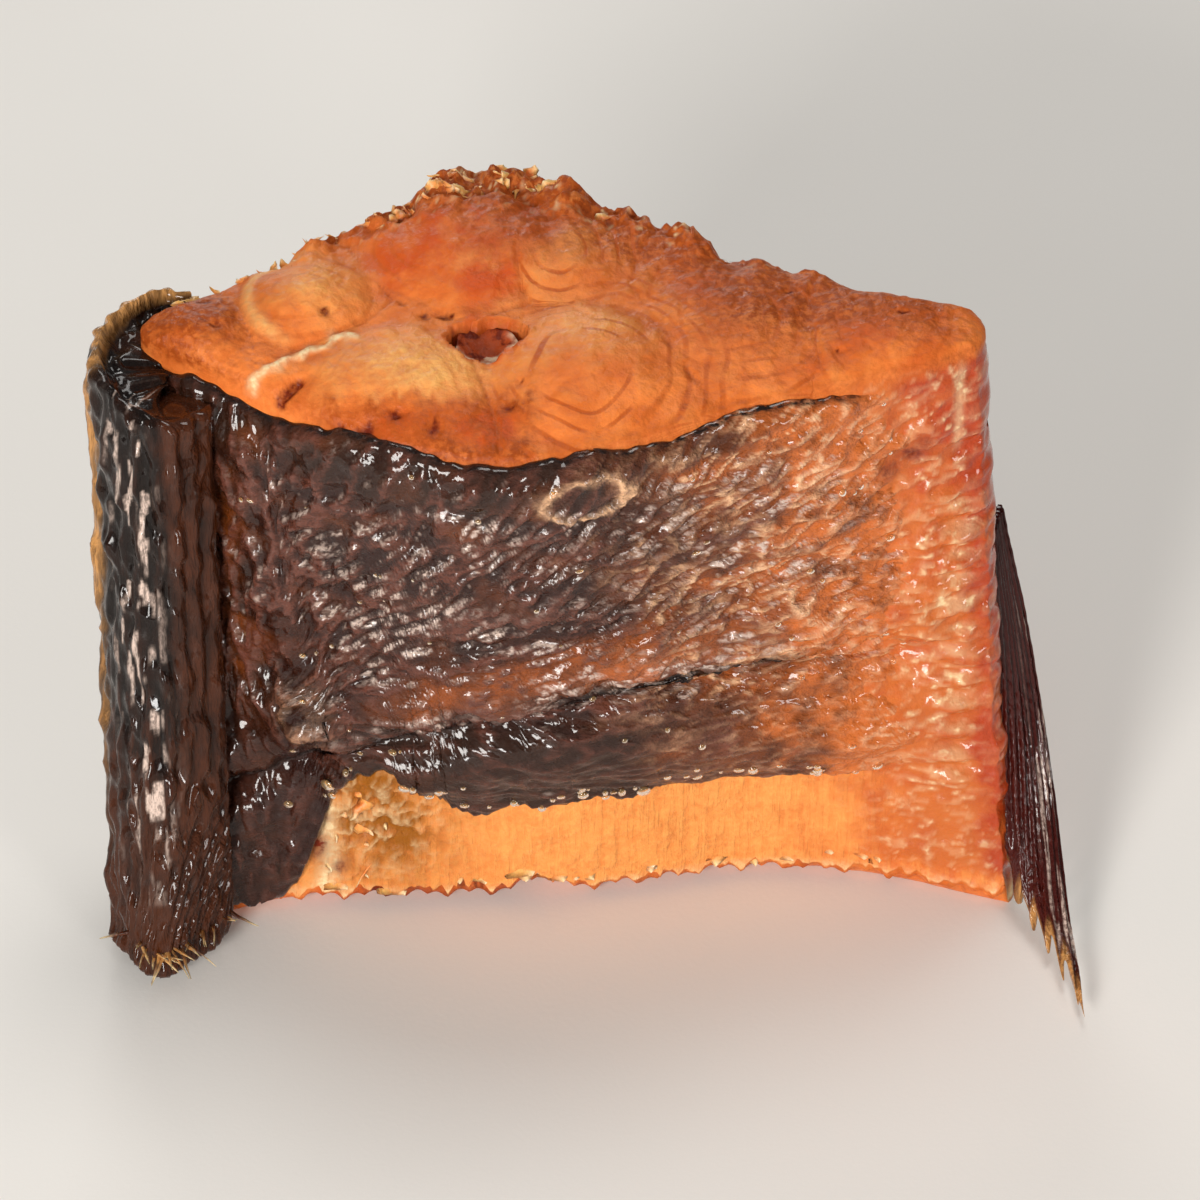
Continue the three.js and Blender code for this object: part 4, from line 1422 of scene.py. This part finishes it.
class SMOKED_FISH_OT_back_fin(bpy.types.Operator):
    """Adds the back fin: folded round the back edge, black and wet along its rays"""

    bl_idname = "smoked_fish.back_fin"
    bl_label = "Back fin"

    def execute(self, context):
        sizes = context.scene.fish_sizes
        colours = context.scene.fish_colours
        ni, nj, nk = BACK_FOLD_STATIONS
        (i, j, k), faces = block_surface(BACK_FOLD_STATIONS)
        u = i / (ni - 1)
        inward = j / (nj - 1)
        v = k / (nk - 1)
        z = v * HEIGHT
        across = u * FOLD_LENGTH
        fan_middle = 0.62 * FOLD_LENGTH
        fan = fan_middle + (across - fan_middle) / lerp(0.4, 1, smoothstep(z, 0, 30))
        ray_phase = fan / (sizes.ray_pitch / MM) + 0.35 * noise(across / 4, z / 16, 0.5, 62)
        ray = 0.5 + 0.5 * np.cos(2 * np.pi * ray_phase)
        wrinkle = wrinkles(across, z, np.full(len(u), np.pi / 2), 1.5, 3.5, 63)
        dents = noise(across / 1.6, z / 3.6, 1.5, 67)
        rim_fade = round_over(np.minimum(u, 1 - u) * FOLD_LENGTH / FIN_ROUND + 0.02)
        end_fade = round_over(np.minimum(v, 1 - v) * HEIGHT / FIN_ROUND + 0.02)
        ribbed = 0.45 * ray + 0.45 * wrinkle + 0.65 * dents + 0.5 * bump(u, FIN_RIM_AT, 0.025)
        outer = (BACK_FIN_THICK / 2 * 0.8 + ribbed) * rim_fade * end_fade
        fill = FOLD_FILL * smoothstep(u, 0.12, 0.36)
        inner = outer + fill * np.sqrt(end_fade)
        points = sheet_points(back_fin_point, u, v, 1, lerp(-outer, inner, inward))
        sunk = smoothstep(inward, 0, 0.35) * smoothstep(v, 0.93, 1)
        sunk = sunk * (1 - 0.8 * smoothstep(u, 0.62, 0.78))
        points[:, 2] -= sunk * (2.2 + 0.7 * noise(across / 1.5, inward * 3, 0.5, 68))
        points[:, 2] = np.maximum(points[:, 2], FLOOR_CLEAR / 4)
        # Painted highlights in long thin runs down the fold, where it faces the viewer
        runs = layered(across / 0.6 + 0.5 * noise(across / 3, z / 6, 2.5, 70), z / 5.5, 3.5, 69, 2)
        lit = smoothstep(runs, 0.24, 0.46)
        rim_end = 0.56 + 0.03 * noise(z / 2.5, u * 9, 0.5, 65)
        outer_edge = 1 - smoothstep(inward, 0.05, 0.3)
        rim = bump(u + 0.012 * noise(z / 5, 0.5, 0.5, 66), FIN_RIM_AT, 0.024)
        rim = rim * smoothstep(z, 8, 50) * (j == 0)
        top_rim = 1.2 * smoothstep(v, 0.98, 0.992) * (1 - smoothstep(u, rim_end - 0.1, rim_end))
        rim = rim + top_rim * outer_edge
        brown = (1 - smoothstep(z, 8, 34)) * 0.8 + 0.4 * bump(u, 0.36, 0.08) + 0.25 * dents
        facing_viewer = 0.9 * bump(u, 0.74, 0.045) + 0.6 * bump(u, 0.66, 0.035)
        masks = {
            "ray": 0.5 * ray * (1 - smoothstep(z, 20, 45)) + 0.15 * ray,
            "rim": rim * (0.8 + 0.5 * noise(u * 20, z / 3, 0.5, 64)),
            "brown": brown + 0.9 * smoothstep(u + 0.02 * dents, 0.79, 0.86),
            "lit": lit * facing_viewer * smoothstep(z, 6, 24),
        }
        material = fin_material(
            "back fin, dried and oiled", colours, colours.fin_black, colours.fin_brown
        )
        add_piece("back_fin_fold", points, faces, material, masks, ("back_fin",))
        return {"FINISHED"}


# The fin's free edge: corners of its path
FIRST_RAY = [
    (50.2, 0, 48.5), (54.2, -2, 30), (57.4, -9.5, 12.8), (59.2, -22, 3), (60.2, -34.5, 1.5),
]
BELLY_FIN_ROOT = 46  # height of the upper end of its root
BELLY_FIN_STATIONS = (190, 2, 90)
BELLY_FIN_RAYS = 9


def belly_fin_point(u, v):
    """Middle of the belly fin: u runs down to its split tips, v from its root to its free edge."""
    split = 0.1 * np.abs(np.sin(v * 17)) * smoothstep(u, 0.5, 1) * (1 - smoothstep(v, 0.92, 1))
    u = u * (1 - split)
    z = lerp(BELLY_FIN_ROOT, FLOOR_CLEAR + 0.9, u)
    t = z / HEIGHT
    root = np.stack([belly_x(t) + 0.3, middle_y(np.ones(np.shape(t)), t), z], -1)
    ray = np.stack(along_path(FIRST_RAY, u), -1)
    return root + (ray - root) * np.asarray(v)[..., None]


class SMOKED_FISH_OT_belly_fin(bpy.types.Operator):
    """Adds the belly fin: a dark ribbed sheet that trails off the belly ridge to a split tip"""

    bl_idname = "smoked_fish.belly_fin"
    bl_label = "Belly fin"

    def execute(self, context):
        colours = context.scene.fish_colours
        ni, _, nk = BELLY_FIN_STATIONS
        (i, j, k), faces = block_surface(BELLY_FIN_STATIONS)
        u = i / (ni - 1)
        v = k / (nk - 1)
        phase = BELLY_FIN_RAYS * v**1.2 + 0.5 * noise(u * 3, v * 4, 0.5, 71)
        strength = 0.6 + 0.6 * noise(u * 2, v * 6, 2.5, 73)
        ray = (0.5 + 0.5 * np.cos(2 * np.pi * phase)) * np.clip(strength, 0.15, 1)
        joint = 0.5 + 0.5 * np.cos(2 * np.pi * u * 34)
        end_fade = round_over(np.minimum(v * 12, (1 - v) * 16) + 0.05)
        end_fade = end_fade * np.clip((1 - u) * 40 + 0.1, 0, 1) ** 0.5
        rough = np.abs(noise(u * 40, v * 9, 0.5, 72))
        # Painted highlights: pale streaks along the rays
        lit = smoothstep(layered(u * 5, v * 22, 1.5, 74, 2), 0.12, 0.4)
        thick = (0.2 + 0.5 * ray + 0.08 * joint * ray + 0.14 * rough) * end_fade
        points = sheet_points(belly_fin_point, u, v, j - 0.5, 2 * thick)
        lit = 0.65 * lit * smoothstep(v, 0.55, 0.8) * smoothstep(u, 0.1, 0.3)
        free_edge = 0.3 * smoothstep(v, 0.98, 1) * smoothstep(u, 0.5, 0.8)
        masks = {
            "ray": 0.5 * ray * smoothstep(u, 0.2, 0.7),
            "rim": 0.9 * smoothstep(u + 0.06 * v, 0.96, 1.03) + free_edge,
            "brown": 0.3 * smoothstep(u, 0.7, 1) + 0.3 * (1 - smoothstep(v, 0, 0.1)),
            "lit": lit * (1 - smoothstep(u, 0.85, 0.95)),
        }
        material = fin_material(
            "belly fin, dried and oiled", colours, colours.belly_dark, colours.belly_brown
        )
        add_piece("belly_fin_rays", points, faces, material, masks, ("belly_fin",))
        return {"FINISHED"}


BONE_SHOWS = 2.3  # how far the bone's torn end stands above its saw line
PALE_SIDE = math.radians(285)  # where the end's rim is clean of marrow
VERTEBRAE = 8
HOLLOW = 1.5  # depth of the hollow in the end face


class SMOKED_FISH_OT_backbone(bpy.types.Operator):
    """Adds the backbone: a row of vertebrae, its cut end hollow and stained in the middle"""

    bl_idname = "smoked_fish.backbone"
    bl_label = "Backbone"

    def execute(self, context):
        low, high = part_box("backbone")
        bottom = low.z / MM
        top = high.z / MM + BONE_SHOWS
        rounds = 64
        steps = 120
        share = np.linspace(0, 1, steps)
        radius = BONE_RADIUS * (0.9 + 0.1 * np.cos(2 * np.pi * VERTEBRAE * share))
        height = lerp(bottom, top, share)
        # The hollow end face: rings that run in to the middle and down
        inner = np.linspace(0.92, 0.06, 10)
        radius = np.concatenate([radius, BONE_RADIUS * inner])
        height = np.concatenate([height, top - HOLLOW * (1 - inner**1.5)])
        turn = np.linspace(0, 2 * np.pi, rounds, endpoint=False)
        worn = 0.5 - 0.85 * np.cos(turn - PALE_SIDE)
        inward = np.concatenate([np.zeros(steps), 1 - inner])
        around = (np.cos(turn)[None, :] * 2, np.sin(turn)[None, :] * 2)
        patchy = 0.35 * noise(*around, inward[:, None] * 3, 82)
        marrow = smoothstep(inward[:, None] + worn + patchy, 0.55, 0.95)
        marrow = marrow * (height > top - 2)[:, None]
        wobble = 1 + 0.05 * np.cos(3 * turn)[None, :] + 0.03 * np.cos(7 * turn + 1)[None, :]
        x = BONE_X + radius[:, None] * np.cos(turn) * wobble
        y = BONE_Y + radius[:, None] * np.sin(turn) * wobble
        z = np.repeat(height[:, None], rounds, 1) + 0.15 * layered(x, y, height[:, None] / 2, 81)
        ids = ring_ids(*x.shape)
        top_pole = x.size
        faces = np.concatenate([
            grid_triangles(ids)[:, ::-1],
            pole_fan(top_pole, ids[-1, :-1], ids[-1, 1:]),
            pole_fan(top_pole + 1, ids[0, 1:], ids[0, :-1]),
        ])
        points = np.stack([x, y, np.maximum(z, bottom)], -1).reshape(-1, 3)
        poles = np.array([[BONE_X, BONE_Y, height[-1]], [BONE_X, BONE_Y, bottom]])
        points = np.concatenate([points, poles])
        masks = {"marrow": np.concatenate([marrow.ravel(), [1, 0]])}
        material = bone_material(context.scene.fish_colours)
        add_piece("backbone_end", points, faces, material, masks, ("backbone",))
        return {"FINISHED"}


RIM_FLAKES = 56
FRILL_FLAKES = 24
BAND_FLAKES = 34
CORNER_SHREDS = 12
RAY_TIPS = 34
FLAKE_SEED = 7
DROP_SEED = 11
EDGE_DROPS = 46
FREE_DROPS = 60


class SMOKED_FISH_OT_torn_edges(bpy.types.Operator):
    """Adds torn flakes on the cut's far rim and the band's lower edge, and broken ray tips"""

    bl_idname = "smoked_fish.torn_edges"
    bl_label = "Torn edges"

    def execute(self, context):
        sizes = context.scene.fish_sizes
        rng = np.random.default_rng(FLAKE_SEED)
        length = sizes.flake_length / MM
        flakes = self.rim_flakes(rng, length)
        flakes += self.band_flakes(rng, length)
        flakes += self.corner_flakes(rng)
        colours = context.scene.fish_colours
        shreds = torn_material("torn flesh, dried", colours.flesh, colours.flesh_pale, colours.cream)
        self.add("torn_flakes", flakes, "flesh", shreds)
        ends = torn_material(
            "broken fin rays, dried", colours.fin_brown, colours.fin_rim, colours.cream
        )
        self.add("broken_ray_tips", self.ray_tips(rng), "back_fin", ends)
        return {"FINISHED"}

    def add(self, name, parts, slot, material):
        """Adds blades as one piece, kept just above the floor"""
        points, faces = joined(parts)
        points[:, 2] = np.maximum(points[:, 2], FLOOR_CLEAR / 4)
        # Each blade has as many points as the others, from its root to its tip
        per_blade = len(parts[0][0])
        tip = np.tile(np.linspace(0, 1, per_blade), len(parts))
        add_piece(name, points, faces, material, {"tip": smoothstep(tip, 0.5, 1)})

    def rim_flakes(self, rng, length):
        """Flakes that stand up along the far rim, closest in the frill"""
        count = RIM_FLAKES + FRILL_FLAKES
        s = np.concatenate([
            rng.uniform(0.03, 0.55, RIM_FLAKES), rng.normal(0.38, 0.06, FRILL_FLAKES),
        ])
        s = np.clip(s, 0.02, 0.95)
        n = rng.uniform(0.84, 1, count)
        t = np.ones(count)
        root = np.stack(body_point(s, n, t), -1)
        root[:, 2] -= 0.5
        direction = np.stack([
            rng.normal(0, 0.7, count), rng.normal(0.5, 0.4, count), rng.uniform(0.35, 1.1, count),
        ], -1)
        side = np.stack([np.ones(count), rng.normal(0, 0.5, count), rng.normal(0, 0.3, count)], -1)
        frill = 1 + 0.8 * bump(root[:, 0], -8, 9)
        lengths = length * frill * rng.uniform(0.15, 0.5, count)
        lengths = lengths * (1 + 0.8 * (rng.uniform(0, 1, count) > 0.85))
        widths = rng.uniform(1.2, 3, count)
        return blades(root, direction, side, lengths, widths, rng.normal(0, 0.3, count), 0.2, rng)

    def band_flakes(self, rng, length):
        """Flakes that hang from the band's torn lower edge"""
        count = BAND_FLAKES
        s = rng.uniform(0.17, 0.93, count)
        n = np.full(count, -1.0)
        t = rng.uniform(0.02, 0.05, count)
        root = np.stack(body_point(s, n, t), -1)
        root += [0, 0.5, 0.9]
        direction = np.stack([
            rng.normal(0.3, 0.3, count), rng.uniform(-0.4, -0.2, count), -np.ones(count),
        ], -1)
        side = np.stack([np.ones(count), np.zeros(count), rng.normal(0, 0.15, count)], -1)
        lengths = np.minimum(length * rng.uniform(0.6, 1.2, count), root[:, 2] * 0.9)
        widths = rng.uniform(2.2, 5.5, count)
        return blades(root, direction, side, lengths, widths, rng.normal(0, 0.1, count), 0.08, rng)

    def corner_flakes(self, rng):
        """Shreds of membrane where the skin's lower corner is torn off"""
        count = CORNER_SHREDS
        s = rng.uniform(0.18, 0.25, count)
        t = rng.uniform(0.08, 0.27, count)
        root = np.stack(body_point(s, np.full(count, -1.0), t), -1)
        root[:, 1] += 0.2
        direction = np.stack([
            rng.normal(0.4, 0.6, count), rng.uniform(-0.3, -0.05, count), rng.normal(-0.6, 0.6, count),
        ], -1)
        side = np.stack([
            rng.normal(0.5, 0.5, count), rng.normal(0, 0.2, count), rng.normal(0.5, 0.5, count),
        ], -1)
        lengths = rng.uniform(2, 4.2, count)
        widths = rng.uniform(1.2, 2.8, count)
        return blades(root, direction, side, lengths, widths, rng.normal(0, 0.3, count), 0.25, rng)

    def ray_tips(self, rng):
        """Broken ends of the back fin's rays, at the foot of its fold"""
        count = RAY_TIPS
        u = rng.uniform(0.55, 0.98, count)
        root = back_fin_point(u, np.full(count, 0.05))
        root[:, 1] -= 0.8
        direction = np.stack([
            rng.normal(0.5, 0.5, count), rng.normal(-0.55, 0.2, count), rng.uniform(-0.35, 0.25, count),
        ], -1)
        side = np.stack([np.ones(count), np.ones(count), rng.normal(0, 0.4, count)], -1)
        lengths = rng.uniform(1.6, 5, count)
        widths = rng.uniform(0.25, 0.6, count)
        return blades(root, direction, side, lengths, widths, rng.normal(0, 0.8, count), 0.2, rng)


class SMOKED_FISH_OT_oil(bpy.types.Operator):
    """Adds drops of oil along the skin's lower edge and scattered over the shown flank"""

    bl_idname = "smoked_fish.oil"
    bl_label = "Oil drops"

    def execute(self, context):
        sizes = context.scene.fish_sizes
        rng = np.random.default_rng(DROP_SEED)
        pitch = sizes.wrinkle_pitch / MM
        grid, normals, stands, _ = skin_grid(pitch, sizes.wrinkle_height / MM)
        radius = sizes.drop_radius / MM
        drops = []
        # Beads along the lower edge, where oil gathers, then a scatter over the flank
        shown_columns = SKIN_COLUMNS[0]
        edge_columns = rng.integers(20, shown_columns - 60, EDGE_DROPS)
        edge_rows = rng.integers(3, 12, EDGE_DROPS)
        free_columns = rng.integers(12, shown_columns - 20, FREE_DROPS)
        free_rows = rng.integers(10, SKIN_ROWS - 8, FREE_DROPS)
        edge_sizes = rng.uniform(0.5, 1.3, EDGE_DROPS)
        free_sizes = rng.uniform(0.35, 0.9, FREE_DROPS)
        for column, row, scale in zip(
            np.concatenate([edge_columns, free_columns]),
            np.concatenate([edge_rows, free_rows]),
            np.concatenate([edge_sizes, free_sizes]),
        ):
            normal = normals[column, row]
            centre = grid[column, row] + normal * stands[column, row]
            stretch = (rng.uniform(0.8, 1.5), rng.uniform(0.8, 1.3))
            drops.append(bead(centre, normal, radius * scale, 0.55 * radius * scale, stretch))
        points, faces = joined(drops)
        material = oil_material(context.scene.fish_colours)
        add_piece("oil_drops", points, faces, material)
        return {"FINISHED"}


# The picture, seen from the viewer's side: how steeply, how much it takes in, from how far
VIEW_ELEVATION = 43
VIEW_WIDTH = 135
VIEW_DISTANCE = 700
VIEW_TARGET = (0.1, -1.7, 38.5)
SENSOR = 36
FLOOR_HALF = 1.6  # half the paper's side, in metres
AIR_COLOUR = (1, 0.98, 0.96, 1)
AIR_STRENGTH = 0.22


def aim(thing, target):
    """Turns a lamp or the camera to face a place."""
    thing.rotation_euler = (Vector(target) - thing.location).to_track_quat("-Z", "Y").to_euler()


class SMOKED_FISH_OT_stage(bpy.types.Operator):
    """Adds the paper floor, the studio lights and the camera"""

    bl_idname = "smoked_fish.stage"
    bl_label = "Stage"

    def execute(self, context):
        self.add_floor(context)
        self.add_lights(context)
        self.add_camera(context)
        return {"FINISHED"}

    def add_floor(self, context):
        half = FLOOR_HALF
        mesh = bpy.data.meshes.new("paper_floor")
        corners = [(-half, -half, 0), (half, -half, 0), (half, half, 0), (-half, half, 0)]
        mesh.from_pydata(corners, [], [(0, 1, 2, 3)])
        mesh.materials.append(floor_material(context.scene.fish_colours))
        floor = bpy.data.objects.new("paper_floor", mesh)
        context.scene.collection.objects.link(floor)

    def add_lights(self, context):
        target = [part * MM for part in VIEW_TARGET]
        # Name, place in metres, size in metres, power in watts, and warmth
        lamps = [
            ("key_softbox", (-0.42, -0.85, 0.42), 0.3, 8.5, (1, 0.97, 0.93)),
            ("top_softbox", (0.05, 0.3, 0.85), 0.3, 2.6, (1, 0.98, 0.95)),
            ("right_softbox", (0.5, -0.72, 0.32), 0.16, 1.4, (1, 0.98, 0.96)),
            ("low_strip", (-0.25, -0.95, 0.13), 0.12, 2, (1, 0.98, 0.96)),
            ("rear_softbox", (-0.15, 0.95, 0.35), 0.35, 2.6, (1, 0.98, 0.95)),
        ]
        for name, place, size, power, warmth in lamps:
            lamp = bpy.data.lights.new(name, "AREA")
            lamp.shape = "SQUARE"
            lamp.size = size
            lamp.energy = power
            lamp.color = warmth
            holder = bpy.data.objects.new(name, lamp)
            holder.location = place
            context.scene.collection.objects.link(holder)
            aim(holder, target)
        world = bpy.data.worlds.new("studio_air")
        world.use_nodes = True
        background = world.node_tree.nodes["Background"]
        background.inputs["Color"].default_value = AIR_COLOUR
        background.inputs["Strength"].default_value = AIR_STRENGTH
        context.scene.world = world
        context.scene.view_settings.view_transform = "Standard"

    def add_camera(self, context):
        target = Vector([part * MM for part in VIEW_TARGET])
        angle = math.radians(VIEW_ELEVATION)
        lens = bpy.data.cameras.new("camera")
        lens.sensor_width = SENSOR
        lens.lens = SENSOR * VIEW_DISTANCE / VIEW_WIDTH
        lens.clip_start = 0.01
        camera = bpy.data.objects.new("camera", lens)
        away = Vector((0, -math.cos(angle), math.sin(angle)))
        camera.location = target + VIEW_DISTANCE * MM * away
        context.scene.collection.objects.link(camera)
        aim(camera, target)
        context.scene.camera = camera


OPERATORS = (
    SMOKED_FISH_OT_flesh,
    SMOKED_FISH_OT_skin,
    SMOKED_FISH_OT_back_fin,
    SMOKED_FISH_OT_belly_fin,
    SMOKED_FISH_OT_backbone,
    SMOKED_FISH_OT_torn_edges,
    SMOKED_FISH_OT_oil,
    SMOKED_FISH_OT_stage,
)


class SMOKED_FISH_PT_panel(bpy.types.Panel):
    """Lists the chunk's pieces with their sizes and colours"""

    bl_idname = "SMOKED_FISH_PT_panel"
    bl_label = "Smoked fish"
    bl_space_type = "VIEW_3D"
    bl_region_type = "UI"
    bl_category = "Smoked fish"

    def draw(self, context):
        layout = self.layout
        for operator in OPERATORS:
            layout.operator(operator.bl_idname)
        for group in (context.scene.fish_sizes, context.scene.fish_colours):
            for name in group.bl_rna.properties.keys():
                if name not in ("rna_type", "name"):
                    layout.prop(group, name)


CLASSES = (FishSizes, FishColours, *OPERATORS, SMOKED_FISH_PT_panel)


def register():
    for each in CLASSES:
        bpy.utils.register_class(each)
    bpy.types.Scene.fish_sizes = bpy.props.PointerProperty(type=FishSizes)
    bpy.types.Scene.fish_colours = bpy.props.PointerProperty(type=FishColours)


def unregister():
    del bpy.types.Scene.fish_colours
    del bpy.types.Scene.fish_sizes
    for each in reversed(CLASSES):
        bpy.utils.unregister_class(each)


def main():
    register()
    bpy.ops.smoked_fish.flesh()
    bpy.ops.smoked_fish.skin()
    bpy.ops.smoked_fish.back_fin()
    bpy.ops.smoked_fish.belly_fin()
    bpy.ops.smoked_fish.backbone()
    bpy.ops.smoked_fish.torn_edges()
    bpy.ops.smoked_fish.oil()
    bpy.ops.smoked_fish.stage()


if __name__ == "__main__":
    main()
